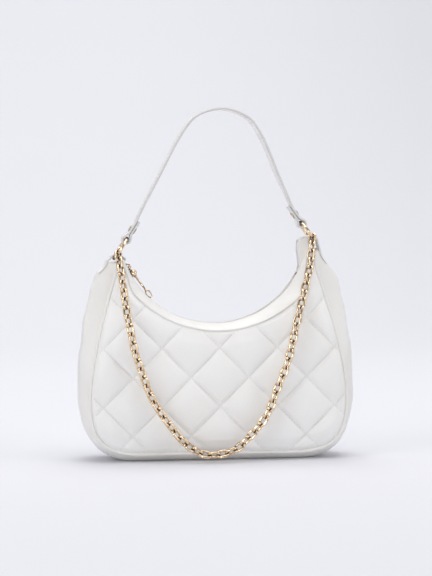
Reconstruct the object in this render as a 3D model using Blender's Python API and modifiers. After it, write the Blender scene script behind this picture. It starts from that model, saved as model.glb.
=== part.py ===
"""Quilted shoulder bag: a soft crescent body with a zipped mouth, a leather strap and a chain.

Metres, +Z up. The origin is the middle of the flat base, +X runs to the bag's right hand wing as
seen from the front, and -Y is the front. Each part of the bag is one named object.
"""

import math

import bmesh
import bpy
from mathutils import Matrix, Vector

# Driving dimensions of the whole bag
PANEL_HALF_WIDTH = 0.1233
PANEL_BOTTOM = 0.0078
PANEL_TIP_HEIGHT = 0.197
SIDE_HALF_DEPTH = 0.0260
MOUTH_HALF_DEPTH = 0.0220
WING_HALF_DEPTH = 0.0085
GAP = 0.0003

# A step for reading a surface's slope, and how near two points are joined as one
SLOPE_STEP_SHARE = 0.01
WELD_DISTANCE = 0.00001

# The left wing has settled down and outwards
SLOUCH_FROM = 0.170
SLOUCH_TO = 0.197
SLOUCH_DROP = 0.009
SLOUCH_OUT = 0.003

# The panels narrow towards the wing tips from this share of the way out
WING_FROM_SHARE = 0.58

# Panels: leather over foam, stitched in diamonds
PANEL_THICKNESS = 0.0032
PANEL_CROWN = 0.0045
QUILT_WIDTH = 0.0553
QUILT_HEIGHT = 0.0555
QUILT_CENTRE = 0.1080
QUILT_RISE = 0.0030
QUILT_ROUNDNESS_SHARE = 0.6
QUILT_WING_SHARE = 0.4
PANEL_COLUMNS = 40
PANEL_ROWS = 10

# Piping in both seams round the panels, and the smooth side strip between them
PIPING_RADIUS = 0.0016
PIPING_STEPS = 46
GUSSET_THICKNESS = 0.0018
GUSSET_COLUMNS = 44
GUSSET_ROWS = 8
GUSSET_FLAT_SHARE = 1.25
GUSSET_CURVE_SHARE = 2.4

# Mouth: a seam from wing tip to wing tip, and top strips on both sides of the zip
MOUTH_RADIUS = 0.112
MOUTH_BOTTOM = 0.1227
MOUTH_STEPS = 24
MOUTH_END_INSET = 0.00383
MOUTH_END_DROP = 0.00024
MOUTH_TUCK_ANGLE = math.radians(46)
FACING_THICKNESS = 0.0016
FACING_COLUMNS = 30
FACING_ROWS = 4
ZIP_RISE = 0.0058
ZIP_CENTRE_X = -0.0025
ZIP_LEFT_INSET = 0.00538
ZIP_LEFT_RISE = 0.00235
ZIP_RIGHT_DROP = 0.01863
FACING_EDGE_Y = 0.0058

# Zip
TAPE_INNER_Y = 0.0041
TAPE_OUTER_Y = 0.0072
TAPE_THICKNESS = 0.0007
TAPE_CLEARANCE = 0.0008
TAPE_END_SHARE = 0.99
TOOTH_INNER_Y = 0.0009
TOOTH_ROOT_Y = 0.0021
TOOTH_THICKNESS = 0.0018
TOOTH_PITCH = 0.0048
STOP_LENGTH = 0.0030
SLIDER_LENGTH = 0.0095
SLIDER_WIDTH = 0.0068
SLIDER_PLATE = 0.0011
SLIDER_WEB = 0.0010
BRIDGE_HEIGHT = 0.0036
BRIDGE_WIRE = 0.0008
BRIDGE_STEPS = 6

# Zip pull: a wire link, a bead, a rod and a loop
PULL_WIRE = 0.0007
PULL_LINK_REACH = 0.0022
PULL_LINK_HALF_WIDTH = 0.0023
BEAD_FROM_BRIDGE = 0.0076
BEAD_RADIUS = 0.0036
ROD_RADIUS = 0.0010
ROD_LENGTH = 0.0220
ROD_SIDES = 8
BEAD_SEGMENTS = 12
PULL_LOOP_REACH = 0.0038
PULL_LOOP_HALF_WIDTH = 0.0020
PULL_REST = math.radians(12)

# Rings, tabs and strap
RING_RADIUS = 0.0117
RING_WIRE = 0.0014
RING_SEGMENTS = 24
RING_SIDES = 6
RIGHT_RING_SHARES = (-0.36, 1.727)
LEFT_RING_SHARES = (0.35, 1.188)
RIGHT_RING_LEAN = math.radians(36)
LEFT_RING_LEAN = math.radians(-33)
TAB_HALF_WIDTH = 0.0055
TAB_THICKNESS = 0.0018
TAB_CLEARANCE = 0.0006
RING_CLEARANCE = 0.0008
STRAP_HALF_WIDTH = 0.0095
STRAP_END_HALF_WIDTH = 0.0060
STRAP_THICKNESS = 0.0022
STRAP_CLEARANCE = 0.0013
STRAP_TOP = 0.3355
STRAP_STEPS = 28
STRAP_FOLD = 0.019
STRAP_CLOSE = 0.0055
STRAP_STRAIGHT = 0.0145
STRAP_TAPER = 0.040
SADDLE_REACH = 0.016
TAB_SADDLE_REACH = 0.005
TAB_TURN = math.radians(95)
LEFT_TAB_TURN = math.radians(-33)
RIGHT_TAB_TURN = math.radians(-50)
TAB_LEG_STEPS = 8
FOLD_STEPS = 6
RIVET_RADIUS = 0.0013
RIVET_HEAD_RADIUS = 0.0034
RIVET_HEAD_HEIGHT = 0.0011
RIVET_FROM_RING = 0.0095
RIVET_SIDES = 12

# Chain
CHAIN_CLEARANCE = 0.00085
LINK_PITCH = 0.0083
LINK_WIRE = 0.00125
LINK_HALF_WIDTH = 0.0033
LINK_BITE = 0.0004
LINK_ARC_STEPS = 4
LINK_SIDES = 5
HOOK_ANGLE = math.radians(62)
TWIST_LINKS = 5

# Lining with a slip pocket on its back wall
LINING_THICKNESS = 0.0008
LINING_CLEARANCE = 0.0007
LINING_COLUMNS = 26
LINING_END_SHARE = 0.05
LINING_DOWN_SHARES = (0.10, 0.4, 0.75)
POCKET_COLUMNS = 6
POCKET_THICKNESS = 0.0008
POCKET_CLEARANCE = 0.0009

# Outline of half a panel from the middle of its bottom edge to its tip,
# in shares of the half width and of the height from bottom edge to tip
PANEL_EDGE_SHARES = (
    (0.0, 0.0),
    (0.36, 0.0),
    (0.69, 0.002),
    (0.878, 0.042),
    (0.974, 0.130),
    (1.0, 0.262),
    (0.982, 0.40),
    (0.930, 0.575),
    (0.866, 0.73),
    (0.800, 0.880),
    (0.756, 1.0),
)

# How far the side strip stands out past the piping, from the middle of the base to a wing tip,
# in shares of the path and of the widest bulge
GUSSET_BULGE = 0.0185
GUSSET_BULGE_SHARES = (
    (0.0, 0.46),
    (0.30, 0.46),
    (0.42, 0.37),
    (0.55, 0.49),
    (0.70, 0.72),
    (0.82, 0.92),
    (0.90, 1.0),
    (1.0, 0.42),
)

# How much more it stands out where the settled left wing makes a shoulder, from that wing's tip
LEFT_SHOULDER = 0.0041
LEFT_SHOULDER_SHARES = ((0.0, 0.45), (0.0227, 1.0), (0.05, 0.0))

# Each tab's leg inside the mouth, from the ring's lower wire down, in shares of the ring's radius
LEFT_TAB_SHARES = ((0.43, 0.18), (0.77, 0.13), (0.95, -0.10))
RIGHT_TAB_SHARES = (
    (-0.63, 0.40),
    (-1.12, 0.22),
    (-1.33, -0.40),
    (-1.25, -1.09),
    (-1.16, -1.73),
    (-1.20, -2.03),
)

# Where each top strip runs on past the zip's right end, up to the ring: its outer and inner edge,
# from the ring's lower wire in shares of the ring's radius, as x, z and distance from the middle
RIGHT_EAR_SHARES = (
    ((-0.62, -0.53, 0.80), (-1.28, -1.72, 0.66)),
    ((-0.59, -0.10, 0.74), (-1.42, -0.70, 0.67)),
    ((-0.71, 0.42, 0.69), (-1.34, 0.18, 0.68)),
)

# The strap's arch from left to right between the straight lengths at its ends, in shares of half
# their distance apart and of the height from them to the strap's top
STRAP_ARCH_SHARES = (
    (-0.8513, 0.1565),
    (-0.6679, 0.4150),
    (-0.4746, 0.6914),
    (-0.2913, 0.8892),
    (-0.1153, 0.9690),
    (0.0790, 1.0000),
    (0.2741, 0.9714),
    (0.4648, 0.8892),
    (0.6289, 0.6950),
    (0.7849, 0.4174),
    (0.9226, 0.1946),
)

# Where the chain hangs, from the left ring to the right one: shares of the way across, of how far
# in front it hangs, and of the height of the line between the two rings
CHAIN_SHARES = (
    (-0.0021, 0.642, 0.8520),
    (0.0100, 0.840, 0.7473),
    (0.0283, 0.963, 0.6474),
    (0.0531, 0.988, 0.5352),
    (0.0890, 1.000, 0.4295),
    (0.1315, 1.000, 0.3261),
    (0.1784, 1.000, 0.2497),
    (0.2359, 1.000, 0.1786),
    (0.2878, 1.000, 0.1188),
    (0.3402, 1.000, 0.0763),
    (0.3938, 1.000, 0.0476),
    (0.4479, 1.000, 0.0378),
    (0.5097, 1.000, 0.0410),
    (0.5831, 1.000, 0.0617),
    (0.6571, 1.000, 0.1179),
    (0.7206, 1.000, 0.1785),
    (0.7631, 1.000, 0.2407),
    (0.8056, 1.000, 0.3366),
    (0.8482, 1.000, 0.4235),
    (0.8796, 0.988, 0.5201),
    (0.9061, 0.963, 0.6164),
    (0.9337, 0.864, 0.6938),
    (0.9669, 0.667, 0.7785),
    (0.9972, 0.469, 0.8611),
)

COLLECTION = "quilted_shoulder_bag"
CUTTERS = "cutters"


def reset():
    for thing in list(bpy.data.objects):
        bpy.data.objects.remove(thing)
    for name in (COLLECTION, CUTTERS):
        group = bpy.data.collections.get(name) or bpy.data.collections.new(name)
        if group.name not in bpy.context.scene.collection.children:
            bpy.context.scene.collection.children.link(group)


def material(name, colour, roughness, metallic=0.0):
    made = bpy.data.materials.get(name) or bpy.data.materials.new(name)
    made.use_nodes = True
    shader = made.node_tree.nodes["Principled BSDF"]
    shader.inputs["Base Color"].default_value = (*colour, 1.0)
    shader.inputs["Roughness"].default_value = roughness
    shader.inputs["Metallic"].default_value = metallic
    return made


def place(thing, finish, group=COLLECTION):
    """Puts an object in its collection alone and gives it its material."""
    for home in list(thing.users_collection):
        home.objects.unlink(thing)
    bpy.data.collections[group].objects.link(thing)
    if finish is not None:
        thing.data.materials.clear()
        thing.data.materials.append(finish)
    return thing


def smoothstep(share):
    share = max(0.0, min(1.0, share))
    return share * share * (3 - 2 * share)


def between(table, share):
    """The value of a table of (share, value) pairs at a share, eased from point to point."""
    for (low, a), (high, b) in zip(table, table[1:]):
        if share <= high:
            return a + (b - a) * smoothstep((share - low) / (high - low))
    return table[-1][1]


class Line:
    """A smooth line through points, read by its share of length."""

    def __init__(self, points, steps_between=8, smooth=True):
        points = [Vector(p) for p in points]
        if smooth:
            fine = []
            ends = [2 * points[0] - points[1]] + points + [2 * points[-1] - points[-2]]
            for a, b, c, d in zip(ends, ends[1:], ends[2:], ends[3:]):
                for step in range(steps_between):
                    t = step / steps_between
                    fine.append(
                        0.5
                        * (
                            2 * b
                            + (c - a) * t
                            + (2 * a - 5 * b + 4 * c - d) * t * t
                            + (3 * b - 3 * c + d - a) * t**3
                        )
                    )
            points = fine + [points[-1]]
        self.points = points
        self.marks = [0.0]
        for a, b in zip(points, points[1:]):
            self.marks.append(self.marks[-1] + (b - a).length)
        self.length = self.marks[-1]

    def at(self, share):
        goal = max(0.0, min(1.0, share)) * self.length
        for i, mark in enumerate(self.marks[1:]):
            if goal <= mark:
                t = (goal - self.marks[i]) / (mark - self.marks[i])
                return self.points[i].lerp(self.points[i + 1], t)
        return self.points[-1].copy()

    def direction(self, share):
        step = 1 / (4 * len(self.points))
        return (self.at(share + step) - self.at(share - step)).normalized()

    def side(self, share):
        """The way out of a flat line that runs from left to right below what it encloses."""
        along = self.direction(share)
        return Vector((along.y, -along.x))


def slouched(point):
    """A point of the left wing, moved as the wing settles."""
    x, z = point
    if x > 0:
        return Vector((x, z))
    share = smoothstep((z - SLOUCH_FROM) / (SLOUCH_TO - SLOUCH_FROM))
    return Vector((x - SLOUCH_OUT * share, z - SLOUCH_DROP * share))


def panel_edge():
    """The piping's line, from the left wing tip round the base to the right wing tip."""
    rise = PANEL_TIP_HEIGHT - PANEL_BOTTOM
    half = [(x * PANEL_HALF_WIDTH, PANEL_BOTTOM + z * rise) for x, z in PANEL_EDGE_SHARES]
    left = [slouched((-x, z)) for x, z in reversed(half[1:])]
    return Line(left + half)


def mouth_edge():
    """The seam between a panel and its top strip, from the left wing tip to the right one."""
    points = []
    centre = MOUTH_BOTTOM + MOUTH_RADIUS
    end = Vector((PANEL_TIP.x - MOUTH_END_INSET, centre - PANEL_TIP.y + MOUTH_END_DROP))
    last = math.atan2(end.x, end.y)
    for i in range(MOUTH_STEPS + 1):
        angle = last * (2 * i / MOUTH_STEPS - 1)
        past = (abs(angle) - MOUTH_TUCK_ANGLE) / (last - MOUTH_TUCK_ANGLE)
        radius = MOUTH_RADIUS + (end.length - MOUTH_RADIUS) * smoothstep(past)
        points.append(slouched((radius * math.sin(angle), centre - radius * math.cos(angle))))
    return Line(points, smooth=False)


def zip_arc():
    """The radius and both end angles of the zip's arc, which ends inside the wing tips."""
    left = slouched((-PANEL_TIP.x, PANEL_TIP.y))
    across = ZIP_CENTRE_X - left.x - ZIP_LEFT_INSET
    rise = left.y + ZIP_LEFT_RISE - ZIP_BOTTOM
    radius = (across**2 + rise**2) / (2 * rise)
    last = math.acos(1 - (PANEL_TIP.y - ZIP_RIGHT_DROP - ZIP_BOTTOM) / radius)
    return radius, -2 * math.atan2(rise, across), last


def ring_centre(wing, shares):
    """A ring's centre, told from the tip of its wing in shares of the ring's radius."""
    return slouched((wing * PANEL_TIP.x, PANEL_TIP.y)) + RING_RADIUS * Vector(shares)


def zip_point(angle, rise=0.0):
    """A point on the zip's arc in the X-Z plane, raised towards the arc's centre."""
    radius = ZIP_RADIUS - rise
    x = ZIP_CENTRE_X + radius * math.sin(angle)
    return Vector((x, ZIP_BOTTOM + ZIP_RADIUS - radius * math.cos(angle)))


def end_share(share):
    """0 along the middle of a seam, rising to 1 at both wing tips."""
    return smoothstep((abs(2 * share - 1) - WING_FROM_SHARE) / (1 - WING_FROM_SHARE))


def edge_depth(share):
    return SIDE_HALF_DEPTH + (WING_HALF_DEPTH - SIDE_HALF_DEPTH) * end_share(share)


def mouth_depth(share):
    return MOUTH_HALF_DEPTH + (WING_HALF_DEPTH - MOUTH_HALF_DEPTH) * end_share(share)


def quilt(x, z):
    """The height of the padding at a point: 0 on a stitch line, 1 in the middle of a diamond."""
    up = (z - QUILT_CENTRE) / QUILT_HEIGHT
    across = x / QUILT_WIDTH
    swell = abs(math.sin(math.pi * (across + up)) * math.sin(math.pi * (across - up)))
    return swell**QUILT_ROUNDNESS_SHARE


def panel_point(share, down, inset=0.0):
    """A point of the front panel's face, from the mouth at down = 0 to the piping at down = 1."""
    outer = EDGE.at(share) - EDGE.side(share) * (PIPING_RADIUS + GAP + inset)
    inner = MOUTH.at(share)
    flat = inner.lerp(outer, down)
    depth = mouth_depth(share) + (edge_depth(share) - mouth_depth(share)) * smoothstep(down)
    middle = 4 * down * (1 - down)
    fullness = 1 - end_share(share)
    depth += PANEL_CROWN * middle * fullness
    padding = QUILT_WING_SHARE + (1 - QUILT_WING_SHARE) * fullness
    depth += QUILT_RISE * quilt(*flat) * min(1.0, 2 * middle) * padding
    return flat, depth + PANEL_THICKNESS / 2


def sheet(name, rows, thickness, finish, outward=1):
    """An open sheet through rows of points, made solid by its thickness behind its face."""
    mesh = bpy.data.meshes.new(name)
    bm = bmesh.new()
    grid = [[bm.verts.new(p) for p in row] for row in rows]
    for above, below in zip(grid, grid[1:]):
        for a, b, c, d in zip(above, above[1:], below[1:], below):
            bm.faces.new((a, b, c, d) if outward > 0 else (d, c, b, a))
    bm.to_mesh(mesh)
    bm.free()
    thing = bpy.data.objects.new(name, mesh)
    place(thing, finish)
    wall = thing.modifiers.new("thickness", "SOLIDIFY")
    wall.thickness = thickness
    wall.offset = -1
    wall.use_even_offset = True
    mesh.shade_smooth()
    return thing


def panel(name, side, finish):
    rows = []
    for j in range(PANEL_ROWS + 1):
        row = []
        for i in range(PANEL_COLUMNS + 1):
            flat, depth = panel_point(i / PANEL_COLUMNS, j / PANEL_ROWS)
            row.append(Vector((flat.x, side * depth, flat.y)))
        rows.append(row)
    return sheet(name, rows, PANEL_THICKNESS, finish, outward=side)


def gusset_point(share, across, lift=0.0):
    """A point of the side strip's outer face. across runs from -1 at the front to 1 at the back."""
    bulge = GUSSET_BULGE * between(GUSSET_BULGE_SHARES, abs(2 * share - 1))
    bulge += LEFT_SHOULDER * between(LEFT_SHOULDER_SHARES, share)
    swell = min(1.0, GUSSET_FLAT_SHARE * (1 - abs(across) ** GUSSET_CURVE_SHARE))
    flat = EDGE.at(share) + EDGE.side(share) * (bulge * swell + lift)
    y = across * (edge_depth(share) - PIPING_RADIUS - GAP)
    return Vector((flat.x, y, max(0.0, flat.y)))


def gusset(finish):
    rows = []
    for i in range(GUSSET_COLUMNS + 1):
        share = i / GUSSET_COLUMNS
        rows.append(
            [gusset_point(share, 2 * j / GUSSET_ROWS - 1) for j in range(GUSSET_ROWS + 1)]
        )
    return sheet("side_gusset", rows, GUSSET_THICKNESS, finish, outward=1)


def tube(name, points, radius, finish):
    """A round cord or wire through points, as a mesh with closed ends."""
    curve = bpy.data.curves.new(name, "CURVE")
    curve.dimensions = "3D"
    curve.bevel_depth = radius
    curve.bevel_resolution = 1
    curve.use_fill_caps = True
    spline = curve.splines.new("POLY")
    spline.points.add(len(points) - 1)
    for knot, point in zip(spline.points, points):
        knot.co = (*point, 1.0)
    guide = bpy.data.objects.new(name + "_line", curve)
    bpy.context.scene.collection.objects.link(guide)
    evaluated = guide.evaluated_get(bpy.context.evaluated_depsgraph_get())
    mesh = bpy.data.meshes.new_from_object(evaluated)
    mesh.name = name
    bpy.data.objects.remove(guide)
    bm = bmesh.new()
    bm.from_mesh(mesh)
    bmesh.ops.remove_doubles(bm, verts=bm.verts, dist=WELD_DISTANCE)
    bmesh.ops.recalc_face_normals(bm, faces=bm.faces)
    bm.to_mesh(mesh)
    bm.free()
    mesh.shade_smooth()
    return place(bpy.data.objects.new(name, mesh), finish)


def piping(name, side, finish):
    points = []
    for i in range(PIPING_STEPS + 1):
        share = i / PIPING_STEPS
        x, z = EDGE.at(share)
        points.append((x, side * edge_depth(share), z))
    return tube(name, points, PIPING_RADIUS, finish)


def facing_point(share, rise):
    """A point of a top strip's upper face, from the seam at rise = 0 to the zip at rise = 1."""
    seam = MOUTH.at(share) - MOUTH.side(share) * (GAP + FACING_THICKNESS)
    angle = ZIP_LEFT_ANGLE + (ZIP_RIGHT_ANGLE - ZIP_LEFT_ANGLE) * share
    edge = zip_point(angle, FACING_THICKNESS)
    flat = seam.lerp(edge, math.sin(math.pi / 2 * rise))
    depth = mouth_depth(share) + PANEL_THICKNESS / 2
    return flat, depth + (FACING_EDGE_Y - depth) * rise


def ear_point(column, rise):
    """A point of a top strip's end beyond the zip, which stands up beside the right tab."""
    wire = ring_wire(RIGHT_RING, RIGHT_RING_LEAN, -1)[0]
    outer, inner = (Vector(edge) for edge in RIGHT_EAR_SHARES[column])
    x, z, depth = RING_RADIUS * outer.lerp(inner, rise)
    return wire + Vector((x, z)), depth


def facing(name, side, finish):
    rows = []
    for j in range(FACING_ROWS + 1):
        rise = j / FACING_ROWS
        spots = [facing_point(i / FACING_COLUMNS, rise) for i in range(FACING_COLUMNS + 1)]
        spots += [ear_point(column, rise) for column in range(len(RIGHT_EAR_SHARES))]
        rows.append([Vector((flat.x, side * depth, flat.y)) for flat, depth in spots])
    return sheet(name, rows, FACING_THICKNESS, finish, outward=-side)


def under_facing(share, depth, drop):
    """A point under a top strip, at a distance from the middle plane and clear of its upper face."""
    step = SLOPE_STEP_SHARE
    seam_depth = mouth_depth(share) + PANEL_THICKNESS / 2
    rise = (seam_depth - depth) / (seam_depth - FACING_EDGE_Y)

    def upper(s, r):
        spot, y = facing_point(s, r)
        return Vector((spot.x, y, spot.y))

    here = upper(share, rise)
    along = upper(share + step, rise) - upper(share - step, rise)
    over = upper(share, rise - step) - upper(share, rise + step)
    down = Vector((here.x - ZIP_CENTRE_X, 0, here.z - ZIP_BOTTOM - ZIP_RADIUS)).normalized()
    return here + down * drop / abs(down.dot(along.cross(over).normalized()))


def zip_tape(name, side, finish):
    """A woven tape under the top strip, whose inner edge carries the teeth."""
    rows = []
    for depth in (TAPE_OUTER_Y, FACING_EDGE_Y):
        row = []
        for i in range(FACING_COLUMNS + 1):
            share = TAPE_END_SHARE * i / FACING_COLUMNS
            spot = under_facing(share, depth, FACING_THICKNESS + TAPE_CLEARANCE)
            row.append(Vector((spot.x, side * depth, spot.z)))
        rows.append(row)
    rows.append([Vector((spot.x, side * TAPE_INNER_Y, spot.z)) for spot in rows[-1]])
    return sheet(name, rows, TAPE_THICKNESS, finish, outward=-side)


def block(name, size, where, turn, finish, bevel=0.0):
    """A block of length, width and height, turned about Y and moved to its place."""
    bm = bmesh.new()
    bmesh.ops.create_cube(bm, size=1.0)
    bmesh.ops.scale(bm, vec=size, verts=bm.verts)
    if bevel:
        bmesh.ops.bevel(bm, geom=bm.edges[:], offset=bevel, segments=1, affect="EDGES")
    mesh = bpy.data.meshes.new(name)
    bm.to_mesh(mesh)
    bm.free()
    thing = bpy.data.objects.new(name, mesh)
    thing.rotation_euler = (0, turn, 0)
    thing.location = where
    return place(thing, finish)


def zip_teeth(name, side, finish):
    """A row of teeth on one continuous bead, with every tooth facing a gap of the other row."""
    half_step = TOOTH_PITCH / 2 / ZIP_RADIUS
    first = ZIP_LEFT_ANGLE + STOP_LENGTH / ZIP_RADIUS
    last = ZIP_RIGHT_ANGLE - STOP_LENGTH / ZIP_RADIUS
    count = int((last - first) / half_step)
    outer, inner = [], []
    for i in range(count + 1):
        x, z = zip_point(first + half_step * i, TOOTH_THICKNESS / 2)
        tooth = (i % 2 == 0) == (side > 0)
        outer.append(Vector((x, side * (TAPE_INNER_Y - GAP), z)))
        inner.append(Vector((x, side * (TOOTH_INNER_Y if tooth else TOOTH_ROOT_Y), z)))
    return sheet(name, [outer, inner], TOOTH_THICKNESS, finish, outward=-side)


def end_stop(name, angle, finish):
    x, z = zip_point(angle)
    width = 2 * (TAPE_INNER_Y - GAP)
    return block(name, (STOP_LENGTH, width, TOOTH_THICKNESS), (x, 0, z), -angle, finish, bevel=GAP)


def boolean(base, operation, tool):
    """Puts a tool solid among the cutters and joins it to base or cuts it out of base."""
    place(tool, None, CUTTERS)
    tool.hide_render = True
    tool.display_type = "WIRE"
    step = base.modifiers.new(operation.lower(), "BOOLEAN")
    step.operation = operation
    step.object = tool


def union(base, tools):
    """Joins overlapping solids into one, in turn."""
    for tool in tools:
        boolean(base, "UNION", tool)
    return base


def on_zip(angle):
    """A placing on the zip's arc, with X along the zip and Z up towards the arc's centre."""
    x, z = zip_point(angle)
    return Matrix.Translation(Vector((x, 0, z))) @ Matrix.Rotation(-angle, 4, "Y")


def turn_about(thing, point):
    """Moves an object's origin onto its joint's axis, with its shape left in place."""
    local = thing.matrix_basis.inverted() @ Vector(point)
    thing.data.transform(Matrix.Translation(-local))
    thing.matrix_basis = thing.matrix_basis @ Matrix.Translation(local)


def slider(angle, finish):
    """Two plates over and under the teeth, a web between them and a bridge for the pull."""
    place_at = on_zip(angle)
    inner = TOOTH_THICKNESS / 2 + GAP
    plate_z = inner + SLIDER_PLATE / 2
    plates = []
    for sign, label in ((1, "zip_slider"), (-1, "zip_slider_under")):
        spot = place_at @ Vector((0, 0, sign * plate_z))
        size = (SLIDER_LENGTH, SLIDER_WIDTH, SLIDER_PLATE)
        plates.append(block(label, size, spot, -angle, finish, bevel=SLIDER_PLATE / 3))
    overrun = SLIDER_PLATE / 2
    web_x = SLIDER_WEB / 2 - SLIDER_LENGTH / 2 + SLIDER_WEB
    web = block(
        "zip_slider_web",
        (2 * SLIDER_WEB, SLIDER_WEB, 2 * (inner + overrun)),
        place_at @ Vector((web_x, 0, 0)),
        -angle,
        finish,
    )
    top = plate_z + SLIDER_PLATE / 2
    half = SLIDER_LENGTH / 2 - 2 * BRIDGE_WIRE
    arch = []
    for i in range(BRIDGE_STEPS + 1):
        bow = math.pi * i / BRIDGE_STEPS
        rise = top - SLIDER_PLATE / 2 + BRIDGE_HEIGHT * math.sin(bow)
        arch.append(place_at @ Vector((half * math.cos(bow), 0, rise)))
    bridge = tube("zip_slider_bridge", arch, BRIDGE_WIRE, finish)
    return union(plates[0], [plates[1], web, bridge])


def link_outline(reach, half_width):
    """Points round a link's centreline: two bowed ends joined by straight sides. reach is from
    the link's middle to the middle of either end."""
    step = math.pi / (LINK_ARC_STEPS - 1)
    bow_centre = reach - half_width * math.cos(step / 2)
    points = []
    for end in (1, -1):
        for i in range(LINK_ARC_STEPS):
            bow = step * i - math.pi / 2
            x = bow_centre + half_width * math.cos(bow)
            points.append(Vector((end * x, end * half_width * math.sin(bow), 0)))
    return points


def wire_loop(bm, outline, wire, placing):
    """Adds one closed wire loop to bm. The outline lies flat in X-Y, and placing moves it."""
    rings = []
    count = len(outline)
    for i, point in enumerate(outline):
        along = (outline[(i + 1) % count] - outline[i - 1]).normalized()
        out = Vector((along.y, -along.x, 0))
        ring = []
        for k in range(LINK_SIDES):
            turn = 2 * math.pi * (k + 0.5) / LINK_SIDES
            spot = point + wire * (out * math.cos(turn) + Vector((0, 0, math.sin(turn))))
            ring.append(bm.verts.new(placing @ spot))
        rings.append(ring)
    for i, ring in enumerate(rings):
        after = rings[(i + 1) % count]
        for k in range(LINK_SIDES):
            beyond = (k + 1) % LINK_SIDES
            bm.faces.new((ring[k], after[k], after[beyond], ring[beyond]))


def loops(name, placings, outline, wire, finish):
    """Closed wire loops of one outline, each placed by its own matrix."""
    bm = bmesh.new()
    for placing in placings:
        wire_loop(bm, outline, wire, placing)
    bmesh.ops.recalc_face_normals(bm, faces=bm.faces)
    mesh = bpy.data.meshes.new(name)
    bm.to_mesh(mesh)
    bm.free()
    mesh.shade_smooth()
    return place(bpy.data.objects.new(name, mesh), finish)


def frame_along(centre, along, flat):
    """A placing whose X runs along a link and whose Z is as near as it can be to flat."""
    x = along.normalized()
    z = (flat - x * flat.dot(x)).normalized()
    y = z.cross(x)
    placing = Matrix.Identity(4)
    for i, axis in enumerate((x, y, z)):
        for k in range(3):
            placing[k][i] = axis[k]
        placing[i][3] = centre[i]
    return placing


def pull(angle, finish):
    """A wire link through the slider's bridge, with a bead, a rod and an end loop on it."""
    top = TOOTH_THICKNESS / 2 + GAP + SLIDER_PLATE
    crown = top - SLIDER_PLATE / 2 + BRIDGE_HEIGHT
    pivot = crown - BRIDGE_WIRE - GAP - PULL_WIRE
    lie = Matrix.Translation(Vector((0, 0, pivot))) @ Matrix.Rotation(-PULL_REST, 4, "Y")
    place_at = on_zip(angle) @ lie

    def along(distance):
        return place_at @ Matrix.Translation(Vector((distance, 0, 0)))

    link = link_outline(PULL_LINK_REACH, PULL_LINK_HALF_WIDTH)
    thing = loops("zip_pull", [along(PULL_LINK_REACH)], link, PULL_WIRE, finish)
    rod_start = BEAD_FROM_BRIDGE
    rod_end = rod_start + ROD_LENGTH
    shaft = rod("zip_pull_rod", ROD_RADIUS, ROD_LENGTH, ROD_SIDES)
    shaft.matrix_world = along((rod_start + rod_end) / 2) @ Matrix.Rotation(math.pi / 2, 4, "Y")
    bead_mesh = bpy.data.meshes.new("zip_pull_bead")
    bm = bmesh.new()
    rounds = 2 * BEAD_SEGMENTS // 3
    bmesh.ops.create_uvsphere(bm, u_segments=BEAD_SEGMENTS, v_segments=rounds, radius=BEAD_RADIUS)
    bm.to_mesh(bead_mesh)
    bm.free()
    bead_mesh.shade_smooth()
    bead = bpy.data.objects.new("zip_pull_bead", bead_mesh)
    bead.matrix_world = along(BEAD_FROM_BRIDGE)
    eye = link_outline(PULL_LOOP_REACH, PULL_LOOP_HALF_WIDTH)
    far = along(rod_end + PULL_LOOP_REACH - PULL_WIRE) @ Matrix.Rotation(math.pi / 2, 4, "X")
    loop = loops("zip_pull_loop", [far], eye, PULL_WIRE, finish)
    for piece in (shaft, bead):
        piece.data.materials.append(finish)
    turn_about(thing, place_at.translation)
    return union(thing, [bead, shaft, loop])


def ring_up(lean):
    """The way from a ring's centre to where the strap pulls on it."""
    return Vector((-math.sin(lean), 0, math.cos(lean)))


def ring(name, centre, lean, finish):
    bpy.ops.mesh.primitive_torus_add(
        major_segments=RING_SEGMENTS,
        minor_segments=RING_SIDES,
        major_radius=RING_RADIUS,
        minor_radius=RING_WIRE,
        location=(centre[0], 0, centre[1]),
        rotation=(0, math.pi / 2 - lean, 0),
    )
    thing = bpy.context.object
    thing.name = name
    thing.data.name = name
    thing.data.shade_smooth()
    return place(thing, finish)


def turned(centre, start, end, radius):
    """Points round a centre in the X-Z plane, from one angle to another."""
    points = []
    for i in range(FOLD_STEPS + 1):
        angle = start + (end - start) * i / FOLD_STEPS
        points.append(centre + radius * Vector((math.cos(angle), math.sin(angle))))
    return points


def ring_wire(centre, lean, sign):
    """The middle of a ring's wire at its top or bottom, and the way the strap pulls, in X-Z."""
    way = ring_up(lean).xz
    return Vector(centre) + sign * RING_RADIUS * way, way


def fold_round(wire, way, start, end, wrap):
    """Points round a wire, between two angles told from the way that the strap pulls."""
    upward = math.atan2(way.y, way.x)
    return turned(wire, upward + start, upward + end, wrap)


def sag(y):
    """How far a ring's wire curves away from its top at a distance from the middle plane."""
    return RING_RADIUS - math.sqrt(RING_RADIUS**2 - y**2)


def band(name, stations, thickness, finish):
    """A strip of leather through stations, each a point in X-Z, a half width and the way and share
    in which the ring's curve pulls its edges."""
    rows = []
    for (x, z), half, toward in stations:
        row = []
        for share in (-1.0, -0.5, 0.0, 0.5, 1.0):
            y = half * share
            drop = toward * sag(min(half, STRAP_END_HALF_WIDTH) * share)
            row.append(Vector((x + drop.x, y, z + drop.y)))
        rows.append(row)
    thing = sheet(name, rows, thickness, finish)
    thing.modifiers["thickness"].offset = 0
    return thing


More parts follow.
